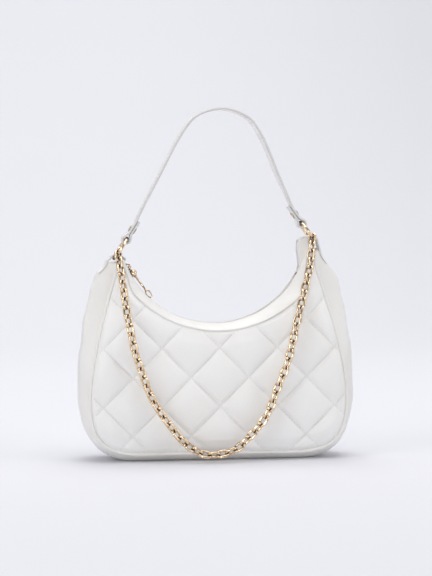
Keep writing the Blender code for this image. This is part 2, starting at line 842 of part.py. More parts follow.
def strap(finish):
    """One strap of leather: each end goes under a ring's wire and back up against itself."""
    wrap = RING_WIRE + STRAP_CLEARANCE + STRAP_THICKNESS / 2
    layer = (STRAP_THICKNESS + GAP) / 2
    quarter = math.pi / 2
    left, up_left = ring_wire(LEFT_RING, LEFT_RING_LEAN, 1)
    right, up_right = ring_wire(RIGHT_RING, RIGHT_RING_LEAN, 1)

    def beside(wire, way, side, height):
        return wire + way * height + side * layer * Vector((way.y, -way.x))

    heights = (STRAP_CLOSE, RIVET_FROM_RING + RIVET_HEAD_RADIUS, STRAP_STRAIGHT)
    long_left = [beside(left, up_left, -1, h) for h in heights]
    long_right = [beside(right, up_right, 1, h) for h in reversed(heights)]
    middle = (long_left[-1] + long_right[0]) / 2
    half_span = (long_right[0].x - long_left[-1].x) / 2
    rise = STRAP_TOP - middle.y
    arch = [middle + Vector((x * half_span, z * rise)) for x, z in STRAP_ARCH_SHARES]
    top = Line([long_left[-1]] + arch + [long_right[0]])
    path = [beside(left, up_left, 1, h) for h in (STRAP_FOLD, STRAP_FOLD / 2, STRAP_CLOSE)]
    path += fold_round(left, up_left, -quarter, -3 * quarter, wrap)
    path += long_left[:-1]
    path += [top.at(i / STRAP_STEPS) for i in range(STRAP_STEPS + 1)]
    path += long_right[1:]
    path += fold_round(right, up_right, 3 * quarter, quarter, wrap)
    path += [beside(right, up_right, -1, h) for h in (STRAP_CLOSE, STRAP_FOLD / 2, STRAP_FOLD)]
    stations = []
    for point in path:
        wire, way = (left, up_left) if point.x < 0 else (right, up_right)
        away = (point - wire).length
        fade = 1 - smoothstep((away - wrap) / SADDLE_REACH)
        widening = smoothstep((away - STRAP_FOLD) / STRAP_TAPER)
        half = STRAP_END_HALF_WIDTH + (STRAP_HALF_WIDTH - STRAP_END_HALF_WIDTH) * widening
        stations.append((point, half, -fade * way))
    return band("shoulder_strap", stations, STRAP_THICKNESS, finish)


def tab(name, wing, centre, lean, leg_shares, inner_turn, finish):
    """A leather tab that goes over the ring's lower wire and down both sides of the wing tip."""
    wire, way = ring_wire(centre, lean, -1)
    wrap = RING_WIRE + RING_CLEARANCE + TAB_THICKNESS / 2
    lift = TAB_CLEARANCE + TAB_THICKNESS / 2
    end = 1.0 if wing > 0 else 0.0
    path = []
    for columns in (1, 0):
        path.append(gusset_point(end - wing * columns / GUSSET_COLUMNS, 0, lift).xz)
    path += fold_round(wire, way, -wing * TAB_TURN, wing * inner_turn, wrap)
    leg = Line(path[-2:] + [wire + RING_RADIUS * Vector(share) for share in leg_shares])
    start = (path[-1] - path[-2]).length / leg.length
    for i in range(1, TAB_LEG_STEPS + 1):
        path.append(leg.at(start + (1 - start) * i / TAB_LEG_STEPS))
    stations = []
    for point in path:
        fade = 1 - smoothstep(((point - wire).length - wrap) / TAB_SADDLE_REACH)
        stations.append((point, TAB_HALF_WIDTH, fade * way))
    return band(name, stations, TAB_THICKNESS, finish)


def hook(centre, lean):
    """Where the chain's end link hangs on a ring, and the way the wire runs there."""
    up = ring_up(lean)
    front = Vector((0, -1, 0))
    middle = Vector((centre[0], 0, centre[1]))
    sine, cosine = math.sin(HOOK_ANGLE), math.cos(HOOK_ANGLE)
    return middle + RING_RADIUS * (front * sine - up * cosine), up * sine + front * cosine


def chain(finish):
    """Oval wire links, each turned a quarter from its neighbours and half a quarter from the panel.
    The two end links hang on the rings, and the rest hangs between them."""
    reach_out = SIDE_HALF_DEPTH + PANEL_CROWN + PANEL_THICKNESS / 2 + QUILT_RISE
    reach_out += LINK_HALF_WIDTH + LINK_WIRE + CHAIN_CLEARANCE
    route = []
    for across, out, level in CHAIN_SHARES:
        x, z = LEFT_RING.lerp(RIGHT_RING, across)
        route.append(Vector((x, -reach_out * out, z * level)))
    ends = [hook(LEFT_RING, LEFT_RING_LEAN), hook(RIGHT_RING, RIGHT_RING_LEAN)]
    reach = (LINK_PITCH + 2 * LINK_WIRE - LINK_BITE) / 2
    outline = link_outline(reach, LINK_HALF_WIDTH)
    hold = reach - (LINK_WIRE + GAP + RING_WIRE)
    step = 2 * (reach - LINK_WIRE) - GAP
    firsts = []
    pivots = []
    for (spot, wire), toward, name in zip(ends, (route[0], route[-1]), ("left", "right")):
        way = (toward - spot).normalized()
        middle = spot + way * hold
        loops(f"{name}_chain_end_link", [frame_along(middle, way, wire)], outline, LINK_WIRE, finish)
        firsts.append((middle + way * step, wire))
        pivots.append(middle + way * reach)
    line = Line([firsts[0][0]] + route + [firsts[1][0]])
    count = 2 * round(line.length / LINK_PITCH / 2)
    hung = link_outline((line.length / count + 2 * LINK_WIRE - LINK_BITE) / 2, LINK_HALF_WIDTH)
    front = Vector((0, -1, 0))
    runs = ([], [])
    for i in range(count + 1):
        share = i / count
        along = line.direction(share)
        near = min(1.0, min(i, count - i) / TWIST_LINKS)
        wire = firsts[0][1] if i < count / 2 else firsts[1][1]
        slanted = (front - along.cross(front)).normalized()
        face = (wire * (1 - near) + slanted * near).normalized()
        if i % 2 == 0:
            face = along.cross(face)
        runs[i % 2].append(frame_along(line.at(share), along, face))
    chain_links = loops("hanging_chain", runs[0], hung, LINK_WIRE, finish)
    others = loops("hanging_chain_turned", runs[1], hung, LINK_WIRE, finish)
    turn_about(chain_links, pivots[0])
    return union(chain_links, [others])


def rivet(name, centre, lean, finish):
    """A rivet through both layers of a strap end, with a flat head on each face."""
    wire, way = ring_wire(centre, lean, 1)
    middle = wire + way * RIVET_FROM_RING
    half = STRAP_THICKNESS + GAP / 2 + GAP
    head_offset = half + RIVET_HEAD_HEIGHT / 2
    shapes = (
        (name, RIVET_RADIUS, 2 * half + RIVET_HEAD_HEIGHT, 0),
        (f"{name}_outer_head", RIVET_HEAD_RADIUS, RIVET_HEAD_HEIGHT, head_offset),
        (f"{name}_inner_head", RIVET_HEAD_RADIUS, RIVET_HEAD_HEIGHT, -head_offset),
    )
    solids = []
    for label, radius, length, offset in shapes:
        spot = middle + offset * Vector((way.y, -way.x))
        solid = rod(label, radius, length, RIVET_SIDES)
        solid.rotation_euler = (0, math.pi / 2 - lean, 0)
        solid.location = (spot.x, 0, spot.y)
        solids.append(place(solid, finish))
    return union(solids[0], solids[1:])


def rod(name, radius, length, sides):
    bm = bmesh.new()
    bmesh.ops.create_cone(
        bm, cap_ends=True, segments=sides, radius1=radius, radius2=radius, depth=length
    )
    mesh = bpy.data.meshes.new(name)
    bm.to_mesh(mesh)
    bm.free()
    return bpy.data.objects.new(name, mesh)


def rivet_hole(thing, name, centre, lean):
    """Cuts the hole of a rivet's shank through both layers of a strap end."""
    wire, way = ring_wire(centre, lean, 1)
    middle = wire + way * RIVET_FROM_RING
    cutter = rod(name, RIVET_RADIUS + GAP, 4 * STRAP_THICKNESS, RIVET_SIDES)
    cutter.rotation_euler = (0, math.pi / 2 - lean, 0)
    cutter.location = (middle.x, 0, middle.y)
    boolean(thing, "DIFFERENCE", cutter)


def lining_point(column, down_share):
    """A point of the lining's front wall, in step with the panel outside it."""
    share = LINING_END_SHARE + (1 - 2 * LINING_END_SHARE) * column / LINING_COLUMNS
    spot, depth = panel_point(share, down_share, inset=LINING_CLEARANCE)
    inside = depth - PANEL_THICKNESS - QUILT_RISE - 2 * LINING_CLEARANCE
    return Vector((spot.x, -inside, spot.y))


def lining(finish):
    """An open pouch inside the panels and the side strip, sewn in at the mouth seams."""
    rows = []
    for column in range(LINING_COLUMNS + 1):
        row = [lining_point(column, down) for down in LINING_DOWN_SHARES]
        share = LINING_END_SHARE + (1 - 2 * LINING_END_SHARE) * column / LINING_COLUMNS
        corner = EDGE.at(share) - EDGE.side(share) * (PIPING_RADIUS + LINING_CLEARANCE)
        half = edge_depth(share) - PANEL_THICKNESS / 2 - LINING_CLEARANCE - PIPING_RADIUS
        row.append(Vector((corner.x, -half, corner.y)))
        rows.append(row + [Vector((p.x, -p.y, p.z)) for p in reversed(row)])
    return sheet("lining", rows, LINING_THICKNESS, finish)


def slip_pocket(finish):
    """A flat pocket of the lining's cloth, sewn to the back wall and open along its top."""
    first = (LINING_COLUMNS - POCKET_COLUMNS) // 2
    back = Vector((0, LINING_THICKNESS + POCKET_CLEARANCE, 0))
    rows = []
    for down in LINING_DOWN_SHARES[1:]:
        row = []
        for column in range(first, first + POCKET_COLUMNS + 1):
            spot = lining_point(column, down)
            row.append(Vector((spot.x, -spot.y, spot.z)) - back)
        rows.append(row)
    return sheet("slip_pocket", rows, POCKET_THICKNESS, finish, outward=1)


def build():
    reset()
    leather = material("quilted_leather", (0.87, 0.86, 0.83), 0.45)
    smooth = material("smooth_leather", (0.86, 0.85, 0.82), 0.42)
    cloth = material("lining_cloth", (0.80, 0.77, 0.70), 0.85)
    tape = material("zip_tape", (0.83, 0.82, 0.79), 0.8)
    resin = material("zip_teeth", (0.85, 0.84, 0.80), 0.4)
    gold = material("gold_metal", (0.83, 0.62, 0.30), 0.22, 1.0)
    for name, side in (("front_panel", -1), ("back_panel", 1)):
        panel(name, side, leather)
    gusset(smooth)
    for name, side in (("front_piping", -1), ("back_piping", 1)):
        piping(name, side, smooth)
    for name, side in (("front_top_strip", -1), ("back_top_strip", 1)):
        facing(name, side, smooth)
    for name, side in (("front_zip_tape", -1), ("back_zip_tape", 1)):
        zip_tape(name, side, tape)
    for name, side in (("front_zip_teeth", -1), ("back_zip_teeth", 1)):
        zip_teeth(name, side, resin)
    half_stop = STOP_LENGTH / 2 / ZIP_RADIUS
    end_stop("left_zip_stop", ZIP_LEFT_ANGLE + half_stop, gold)
    end_stop("right_zip_stop", ZIP_RIGHT_ANGLE - half_stop, gold)
    closed = ZIP_LEFT_ANGLE + (STOP_LENGTH + GAP + SLIDER_LENGTH / 2) / ZIP_RADIUS
    turn_about(slider(closed, gold), (ZIP_CENTRE_X, 0, ZIP_BOTTOM + ZIP_RADIUS))
    pull(closed, gold)
    lining(cloth)
    slip_pocket(cloth)
    wings = (
        ("left", -1, LEFT_RING, LEFT_RING_LEAN, LEFT_TAB_SHARES, LEFT_TAB_TURN),
        ("right", 1, RIGHT_RING, RIGHT_RING_LEAN, RIGHT_TAB_SHARES, RIGHT_TAB_TURN),
    )
    carried = strap(smooth)
    strap_axis = (LEFT_RING.x, 0, LEFT_RING.y)
    turn_about(carried, strap_axis)
    for name, wing, centre, lean, leg_shares, inner_turn in wings:
        ring(f"{name}_ring", centre, lean, gold)
        tab(f"{name}_tab", wing, centre, lean, leg_shares, inner_turn, smooth)
        turn_about(rivet(f"{name}_strap_rivet", centre, lean, gold), strap_axis)
        rivet_hole(carried, f"{name}_rivet_hole", centre, lean)
    chain(gold)


# Places and lines that several pieces share, worked out from the sizes above
PANEL_TIP = Vector((PANEL_HALF_WIDTH * PANEL_EDGE_SHARES[-1][0], PANEL_TIP_HEIGHT))
ZIP_BOTTOM = MOUTH_BOTTOM + ZIP_RISE
ZIP_RADIUS, ZIP_LEFT_ANGLE, ZIP_RIGHT_ANGLE = zip_arc()
RIGHT_RING = ring_centre(1, RIGHT_RING_SHARES)
LEFT_RING = ring_centre(-1, LEFT_RING_SHARES)
EDGE = panel_edge()
MOUTH = mouth_edge()
build()
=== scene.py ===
"""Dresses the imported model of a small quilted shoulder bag: leather, thread, zip and gold chain.

Metres, +Z up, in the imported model's own frame: the bag stands on z = 0 and faces -Y.
"""

import math

import bmesh
import bpy
from mathutils import Matrix, Vector, noise
from mathutils.bvhtree import BVHTree


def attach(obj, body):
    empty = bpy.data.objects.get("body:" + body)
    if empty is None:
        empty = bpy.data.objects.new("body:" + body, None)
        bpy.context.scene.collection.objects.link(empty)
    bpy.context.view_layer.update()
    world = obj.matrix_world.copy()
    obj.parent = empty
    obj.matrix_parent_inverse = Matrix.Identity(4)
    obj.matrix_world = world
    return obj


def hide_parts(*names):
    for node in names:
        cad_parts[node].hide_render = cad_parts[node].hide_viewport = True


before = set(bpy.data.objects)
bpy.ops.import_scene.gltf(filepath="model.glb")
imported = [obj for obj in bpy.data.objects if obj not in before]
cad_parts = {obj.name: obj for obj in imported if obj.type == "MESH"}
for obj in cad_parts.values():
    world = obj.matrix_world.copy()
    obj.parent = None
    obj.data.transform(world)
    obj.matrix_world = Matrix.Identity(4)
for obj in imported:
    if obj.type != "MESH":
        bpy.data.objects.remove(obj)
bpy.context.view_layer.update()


# The studio: a pale floor that sweeps up into a backdrop, with wide soft lamps above, at both sides
# and low in front, and one more on the backdrop. The room is darker behind the camera, which stands
# a little to the left and looks slightly down.
camera_reach = 1.70
camera_height = 0.250
camera_turn = math.radians(8)
look_at = Vector((0, 0, 0.1635))
photo_camera = bpy.data.objects.new("photo_camera", bpy.data.cameras.new("photo_camera"))
bpy.context.scene.collection.objects.link(photo_camera)
photo_camera.location = (
    -camera_reach * math.sin(camera_turn),
    -camera_reach * math.cos(camera_turn),
    camera_height,
)
look_way = look_at - photo_camera.location
photo_camera.rotation_euler = look_way.to_track_quat("-Z", "Y").to_euler()
photo_camera.data.sensor_width = 36
photo_camera.data.lens = 110.6
photo_camera.data.clip_end = 50
bpy.context.scene.camera = photo_camera
bpy.context.scene.view_settings.view_transform = "Standard"

sweep_start = 1.2
sweep_radius = 1.5
sweep_end = 6.0
sweep_steps = 10
sweep_profile = [(-sweep_end, 0), (sweep_start, 0)]
for step in range(1, sweep_steps + 1):
    bend = math.pi / 2 * step / sweep_steps
    sweep_profile.append(
        (sweep_start + sweep_radius * math.sin(bend), sweep_radius * (1 - math.cos(bend)))
    )
sweep_profile.append((sweep_start + sweep_radius, sweep_end))
sweep_mesh = bpy.data.meshes.new("studio_sweep")
sweep_mesh.from_pydata(
    [(x, y, z) for y, z in sweep_profile for x in (-sweep_end, sweep_end)],
    [],
    [(2 * i, 2 * i + 1, 2 * i + 3, 2 * i + 2) for i in range(len(sweep_profile) - 1)],
)
sweep_mesh.shade_smooth()
studio_sweep = bpy.data.objects.new("studio_sweep", sweep_mesh)
bpy.context.scene.collection.objects.link(studio_sweep)
sweep_paint = bpy.data.materials.new("sweep_paint")
sweep_paint.use_nodes = True
sweep_shader = sweep_paint.node_tree.nodes["Principled BSDF"]
sweep_shader.inputs["Base Color"].default_value = (0.74, 0.74, 0.775, 1)
sweep_shader.inputs["Roughness"].default_value = 0.9
sweep_shader.inputs["Specular IOR Level"].default_value = 0.1
sweep_mesh.materials.append(sweep_paint)

studio_air = bpy.data.worlds.new("studio_air")
bpy.context.scene.world = studio_air
studio_air.use_nodes = True
air_tree = studio_air.node_tree
air = air_tree.nodes["Background"]
air.inputs["Color"].default_value = (0.965, 0.97, 1.0, 1)
air_way = air_tree.nodes.new("ShaderNodeSeparateXYZ")
air_tree.links.new(
    air_tree.nodes.new("ShaderNodeTexCoord").outputs["Generated"], air_way.inputs["Vector"]
)
air_fade = air_tree.nodes.new("ShaderNodeMapRange")
for socket, value in (("From Min", -1.0), ("From Max", -0.3), ("To Min", 0.12), ("To Max", 0.62)):
    air_fade.inputs[socket].default_value = value
air_tree.links.new(air_way.outputs["Y"], air_fade.inputs["Value"])
air_tree.links.new(air_fade.outputs["Result"], air.inputs["Strength"])
for lamp_name, spot, aim, width, power in (
    ("top_softbox", (0.1, -0.3, 1.9), (0, 0, 0.12), 1.4, 12),
    ("left_softbox", (-1.7, -1.1, 1.2), (0, 0, 0.12), 1.0, 9),
    ("right_softbox", (1.9, -0.8, 0.9), (0, 0, 0.12), 1.2, 7),
    ("low_softbox", (-0.3, -1.7, 0.16), (0, 0, 0.05), 0.5, 5.5),
    ("backdrop_lamp", (0, 1.0, 2.2), (0, 2.3, 0.1), 2.0, 28),
):
    softbox = bpy.data.objects.new(lamp_name, bpy.data.lights.new(lamp_name, "AREA"))
    softbox.data.shape = "DISK"
    softbox.data.size = width
    softbox.data.energy = power
    softbox.location = spot
    softbox.rotation_euler = (Vector(aim) - softbox.location).to_track_quat("-Z", "Y").to_euler()
    bpy.context.scene.collection.objects.link(softbox)


# The quilted panels: one cut of soft off-white leather each, front and back, over foam and
# stitched through in diamonds. The foam swells between the lines and the leather puckers at them.
panel_half_width = 0.1233
panel_bottom = 0.0078
panel_tip = 0.197
side_half_depth = 0.0260
mouth_half_depth = 0.0220
wing_half_depth = 0.0085
gap = 0.0003
piping_radius = 0.0016
panel_thickness = 0.0032
panel_crown = 0.0045
panel_outline = (
    (0.0, 0.0), (0.36, 0.0), (0.69, 0.002), (0.878, 0.042), (0.974, 0.130), (1.0, 0.262),
    (0.982, 0.40), (0.930, 0.575), (0.866, 0.73), (0.800, 0.880), (0.756, 1.0),
)
mouth_radius = 0.112
mouth_bottom = 0.1227
mouth_last = math.radians(67)
mouth_bend = math.radians(46)
mouth_pinch = 0.133
mouth_half_steps = 24
wing_start = 0.58
wing_length = 0.42
sunk_from = 0.170
sunk_height = 0.027
sunk_out = 0.003
sunk_down = 0.009
diamond_width = 0.0553
diamond_height = 0.0555
diamond_middle = 0.1080
diamond_rise = 0.0034
quilt_fade = 2.6
wing_quilting = 0.4
valley_sink = 0.0008
valley_reach = 0.17
crease_height = 0.0005
crease_grain = (75, 48)
pucker_height = 0.0003
pucker_grain = 300
pucker_reach = 0.16
seam_tuck = 0.5
hem_tuck = 0.0010
seam_roll = (0.0018, 0.0026)
hem_roll = (0.0013, 0.0022)


def ease(share):
    """A soft run from 0 to 1."""
    share = max(0.0, min(1.0, share))
    return share * share * (3 - 2 * share)


class SewnLine:
    """A smooth line through points, read by its share of length, as with a tailor's tape."""

    def __init__(self, points, smooth=True):
        points = [Vector(p) for p in points]
        if smooth:
            ends = [2 * points[0] - points[1]] + points + [2 * points[-1] - points[-2]]
            fine = []
            steps = 8
            for a, b, c, d in zip(ends, ends[1:], ends[2:], ends[3:]):
                for step in range(steps):
                    t = step / steps
                    square = (2 * a - 5 * b + 4 * c - d) * t * t
                    cube = (3 * b - 3 * c + d - a) * t**3
                    fine.append(0.5 * (2 * b + (c - a) * t + square + cube))
            points = fine + [points[-1]]
        self.points = points
        self.marks = [0.0]
        for a, b in zip(points, points[1:]):
            self.marks.append(self.marks[-1] + (b - a).length)
        self.length = self.marks[-1]

    def at(self, share):
        """The line's point at a share of its length."""
        goal = max(0.0, min(1.0, share)) * self.length
        low, high = 0, len(self.marks) - 1
        while high - low > 1:
            middle = (low + high) // 2
            if self.marks[middle] < goal:
                low = middle
            else:
                high = middle
        t = (goal - self.marks[low]) / (self.marks[high] - self.marks[low])
        return self.points[low].lerp(self.points[high], t)

    def way(self, share):
        """The way that the line runs there."""
        step = 1 / (4 * len(self.points))
        return (self.at(share + step) - self.at(share - step)).normalized()

    def out(self, share):
        """The way that is square to the line there, away from the mouth."""
        along = self.way(share)
        return Vector((along.y, -along.x))


def settled(x, z):
    """A point of the left wing, which has sunk a little and leans outwards."""
    if x > 0:
        return Vector((x, z))
    share = ease((z - sunk_from) / sunk_height)
    return Vector((x - sunk_out * share, z - sunk_down * share))


panel_half = [
    (x * panel_half_width, panel_bottom + z * (panel_tip - panel_bottom)) for x, z in panel_outline
]
panel_seam = SewnLine([settled(-x, z) for x, z in reversed(panel_half[1:])] + panel_half)
mouth_points = []
for step in range(2 * mouth_half_steps + 1):
    swing = mouth_last * (step / mouth_half_steps - 1)
    tuck = mouth_pinch * ease((abs(swing) - mouth_bend) / (mouth_last - mouth_bend))
    reach = mouth_radius * (1 - tuck)
    height = mouth_bottom + mouth_radius - reach * math.cos(swing)
    mouth_points.append(settled(reach * math.sin(swing), height))
mouth_seam = SewnLine(mouth_points, smooth=False)


def wing_share(share):
    """0 along the middle of a seam, rising to 1 at both wing tips."""
    return ease((abs(2 * share - 1) - wing_start) / wing_length)


def seam_depth(share):
    """How far the piped seams stand from the middle plane."""
    return side_half_depth + (wing_half_depth - side_half_depth) * wing_share(share)


def lip_depth(share):
    """How far the mouth seams stand from the middle plane."""
    return mouth_half_depth + (wing_half_depth - mouth_half_depth) * wing_share(share)


def swell(x, z):
    """The foam's height between the stitch lines, and the nearness of the nearest line."""
    up = (z - diamond_middle) / diamond_height
    across = x / diamond_width
    first = abs(math.sin(math.pi * (across + up)))
    second = abs(math.sin(math.pi * (across - up)))
    return (first * second) ** 0.5, min(first, second)


def panel_spot(share, down, side):
    """A point of a panel's face, from the mouth at down = 0 to the piping at down = 1. Both edges
    roll down into their seams, under the top strip's hem and beside the piping's cord."""
    outer = panel_seam.at(share) - panel_seam.out(share) * piping_radius * seam_tuck
    inner = mouth_seam.at(share) - mouth_seam.out(share) * hem_tuck
    flat = inner.lerp(outer, down)
    full = 1 - wing_share(share)
    middle = 4 * down * (1 - down)
    depth = lip_depth(share) + (seam_depth(share) - lip_depth(share)) * ease(down)
    depth += panel_crown * middle * full
    height, near = swell(*flat)
    free = min(1.0, quilt_fade * middle) * (wing_quilting + (1 - wing_quilting) * full)
    depth += diamond_rise * height * free
    depth -= valley_sink * math.exp(-((near / valley_reach) ** 2)) * free
    crease = noise.noise(Vector((flat.x * crease_grain[0], side * 7, flat.y * crease_grain[1])))
    depth += crease_height * crease * height * free
    pucker = noise.noise(Vector((flat.x * pucker_grain, side * 9, flat.y * pucker_grain)))
    depth += pucker_height * pucker * math.exp(-near / pucker_reach) * free
    for edge, (roll, reach) in ((outer, seam_roll), (inner, hem_roll)):
        depth -= roll * math.exp(-(((flat - edge).length / reach) ** 2))
    return Vector((flat.x, side * (depth + panel_thickness / 2), flat.y))


def sewn_sheet(name, grid, thickness, outward, cut_edges=True):
    """Leather or cloth through a grid of points, with its thickness behind it. Cut edges are
    softened, and edges that are rolled or turned in are left as they are."""
    wide = len(grid[0])
    faces = []
    for j in range(len(grid) - 1):
        for i in range(wide - 1):
            face = (j * wide + i, j * wide + i + 1, (j + 1) * wide + i + 1, (j + 1) * wide + i)
            faces.append(face if outward > 0 else face[::-1])
    mesh = bpy.data.meshes.new(name)
    mesh.from_pydata([p for row in grid for p in row], [], faces)
    mesh.shade_smooth()
    piece = bpy.data.objects.new(name, mesh)
    bpy.context.scene.collection.objects.link(piece)
    wall = piece.modifiers.new("thickness", "SOLIDIFY")
    wall.thickness = thickness
    wall.offset = -1
    if cut_edges:
        edge = piece.modifiers.new("soft edge", "BEVEL")
        edge.width = thickness * 0.3
        edge.segments = 2
        edge.limit_method = "ANGLE"
        edge.angle_limit = math.radians(60)
    return piece


def shader_tree(name):
    """A new material with its node tree, its shader and a texture place that rides with it."""
    made = bpy.data.materials.new(name)
    made.use_nodes = True
    tree = made.node_tree
    place = tree.nodes.new("ShaderNodeTexCoord").outputs["Object"]
    return made, tree, tree.nodes["Principled BSDF"], place


def tuned(tree, kind, feed, **sockets):
    """A new node of a finish, fed by another one's output, with the sockets named here set."""
    made = tree.nodes.new("ShaderNode" + kind)
    for socket, value in sockets.items():
        made.inputs[socket.replace("_", " ").title()].default_value = value
    tree.links.new(feed, made.inputs[0])
    return made


def two_tones(tree, feed, dark, light, low=0.0, high=1.0):
    """A tone that runs from dark to light as a texture's value rises from low to high."""
    tone = tuned(tree, "ValToRGB", feed)
    for stop, place, colour in zip(tone.color_ramp.elements, (low, high), (dark, light)):
        stop.position = place
        stop.color = (*colour, 1)
    return tone.outputs["Color"]


def shaded(colour, *shares):
    """A colour with each of its parts brought down to a share."""
    return [part * share for part, share in zip(colour, shares * (3 // len(shares)))]


def relief(tree, shader, height, distance, strength=1.0):
    """Raises a finish's fine texture on its surface."""
    bump = tree.nodes.new("ShaderNodeBump")
    bump.inputs["Strength"].default_value = strength
    bump.inputs["Distance"].default_value = distance
    tree.links.new(height, bump.inputs["Height"])
    tree.links.new(bump.outputs["Normal"], shader.inputs["Normal"])


def leather(name, colour, roughness, grain, depth):
    """Tanned leather: a pebbled grain with fine pores, whose tone and sheen drift a little."""
    made, tree, shader, place = shader_tree(name)
    pebbles = tuned(tree, "TexVoronoi", place, scale=grain)
    pebbles.feature = "DISTANCE_TO_EDGE"
    pores = tuned(tree, "TexNoise", place, scale=grain * 3, detail=3)
    drift = tuned(tree, "TexNoise", place, scale=22, detail=6)
    tone = two_tones(
        tree, drift.outputs["Fac"], shaded(colour, 0.965, 0.955, 0.93), colour, 0.3, 0.7
    )
    valley = tuned(tree, "MapRange", pebbles.outputs["Distance"], from_max=0.11).outputs["Result"]
    # The leather turns darker and warmer in the grain's valleys, by up to a tenth.
    valley_darkening = tuned(tree, "MapRange", valley, to_min=0.10, to_max=0.0)
    mix = tree.nodes.new("ShaderNodeMix")
    mix.data_type = "RGBA"
    mix.inputs["B"].default_value = (*shaded(colour, 0.72, 0.69, 0.62), 1)
    tree.links.new(valley_darkening.outputs["Result"], mix.inputs["Factor"])
    tree.links.new(tone, mix.inputs["A"])
    tree.links.new(mix.outputs["Result"], shader.inputs["Base Color"])
    gloss = tuned(tree, "MapRange", valley, to_min=roughness + 0.12, to_max=roughness - 0.04)
    tree.links.new(gloss.outputs["Result"], shader.inputs["Roughness"])
    grain_height = tuned(tree, "Math", pores.outputs["Fac"])
    grain_height.operation = "MULTIPLY_ADD"
    grain_height.inputs[1].default_value = 0.3
    tree.links.new(valley, grain_height.inputs[2])
    relief(tree, shader, grain_height.outputs["Value"], depth, strength=0.5)
    shader.inputs["Specular IOR Level"].default_value = 0.45
    return made


def wear(piece, material, body, slot, *nodes):
    """Gives a piece its material and its body, and hides the solids it stands for. Its slot is not
    used.
    """
    piece.data.materials.append(material)
    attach(piece, body)
    if nodes:
        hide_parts(*nodes)
    return piece


quilt_leather = leather("quilt_leather", (0.90, 0.895, 0.885), 0.47, 760, 0.00012)
panel_columns = 320
panel_rows = 120
even_rows = 0.4
panels = {}
for label, side in (("front", -1), ("back", 1)):
    grid = []
    for j in range(panel_rows + 1):
        level = j / panel_rows
        down = even_rows * level + (1 - even_rows) / 2 * (1 - math.cos(math.pi * level))
        grid.append([panel_spot(i / panel_columns, down, side) for i in range(panel_columns + 1)])
    panels[side] = sewn_sheet(f"quilted_{label}", grid, panel_thickness, side, cut_edges=False)
    wear(panels[side], quilt_leather, "bag", "quilted_leather", f"{label}_panel")


# The quilting thread: a waxed lockstitch in the leather's own colour along every diamond's side.
# Each stitch lies in the groove that it has pulled into the foam.
thread_radius = 0.00022
thread_sides = 5
stitch_pitch = 0.0036
stitch_shape = ((0, 0.3, -0.7), (0.15, 0.9, 0.1), (0.5, 1.0, 0.45), (0.85, 0.9, 0.1), (1, 0.3, -0.7))
stitch_ends = (0.14, 0.86)
quilt_lines = 4
well_outside = 0.1


def thread(name, colour):
    """Twisted polyester thread."""
    made, tree, shader, place = shader_tree(name)
    twist = tuned(tree, "TexWave", place, scale=1100, distortion=1.5)
    twist.bands_direction = "DIAGONAL"
    tone = two_tones(tree, twist.outputs["Fac"], shaded(colour, 0.82), colour)
    tree.links.new(tone, shader.inputs["Base Color"])
    relief(tree, shader, twist.outputs["Fac"], 0.0001)
    shader.inputs["Roughness"].default_value = 0.55
    return made


def round_of(centre, side, up, radius, sides):
    """Points round a centre, in the plane of side and up."""
    points = []
    for k in range(sides):
        turn = 2 * math.pi * k / sides
        points.append(centre + radius * (side * math.cos(turn) + up * math.sin(turn)))
    return points


def tube(bm, rings, placing=Matrix(), endless=False):
    """Adds a tube through rings of points to bm. Its two ends are closed, or joined if endless."""
    rings = [[bm.verts.new(placing @ point) for point in ring] for ring in rings]
    if endless:
        rings.append(rings[0])
    else:
        bm.faces.new(rings[0][::-1])
        bm.faces.new(rings[-1])
    for ring, after in zip(rings, rings[1:]):
        for k, point in enumerate(ring):
            beyond = (k + 1) % len(ring)
            bm.faces.new((point, ring[beyond], after[beyond], after[k]))


def stitch(bm, start, end, up):
    """One stitch: a short length of thread that rises from its hole and dips into the next."""
    along = (end - start).normalized()
    side = along.cross(up).normalized()
    up = side.cross(along)
    rings = []
    for share, girth, lift in stitch_shape:
        centre = start.lerp(end, share) + up * (thread_radius * lift)
        rings.append(round_of(centre, side, up, thread_radius * girth, thread_sides))
    tube(bm, rings)


def mesh_piece(name, bm):
    """Turns finished bmesh work into a smooth object."""
    bmesh.ops.recalc_face_normals(bm, faces=bm.faces)
    mesh = bpy.data.meshes.new(name)
    bm.to_mesh(mesh)
    bm.free()
    mesh.shade_smooth()
    piece = bpy.data.objects.new(name, mesh)
    bpy.context.scene.collection.objects.link(piece)
    return piece


def stitch_row(bm, spot_at, up_at, length, pitch=stitch_pitch, inset=0.0):
    """A row of stitches along a line that is read by its share of length."""
    count = max(1, round(length / pitch))
    room = 1 - 2 * inset
    for k in range(count):
        first, last = (inset + room * (k + share) / count for share in stitch_ends)
        stitch(bm, spot_at(first), spot_at(last), up_at((first + last) / 2))


quilt_thread = thread("quilt_thread", (0.80, 0.785, 0.75))
line_length = math.hypot(diamond_width, diamond_height)
line_steps = round(line_length / stitch_pitch)
for side, panel in panels.items():
    skin = BVHTree.FromPolygons(
        [v.co for v in panel.data.vertices], [p.vertices[:] for p in panel.data.polygons]
    )
    bm = bmesh.new()
    for slant in (1, -1):
        for line in range(-quilt_lines, quilt_lines + 1):
            for k in range(-quilt_lines * line_steps, quilt_lines * line_steps):
                ends = []
                for share in stitch_ends:
                    t = line / 2 + (k + share) / line_steps
                    z = diamond_middle + slant * diamond_height * (line - t)
                    eye = Vector((diamond_width * t, side * well_outside, z))
                    ends.append(skin.ray_cast(eye, Vector((0, -side, 0)))[:2])
                (start, up), (end, end_up) = ends
                if start is None or end is None or (end - start).length > stitch_pitch:
                    continue
                up = up + end_up
                stitch(bm, start, end, -up if up.y * side < 0 else up)
    label = "front_quilting" if side < 0 else "back_quilting"
    wear(mesh_piece(label, bm), quilt_thread, "bag", "quilted_leather")


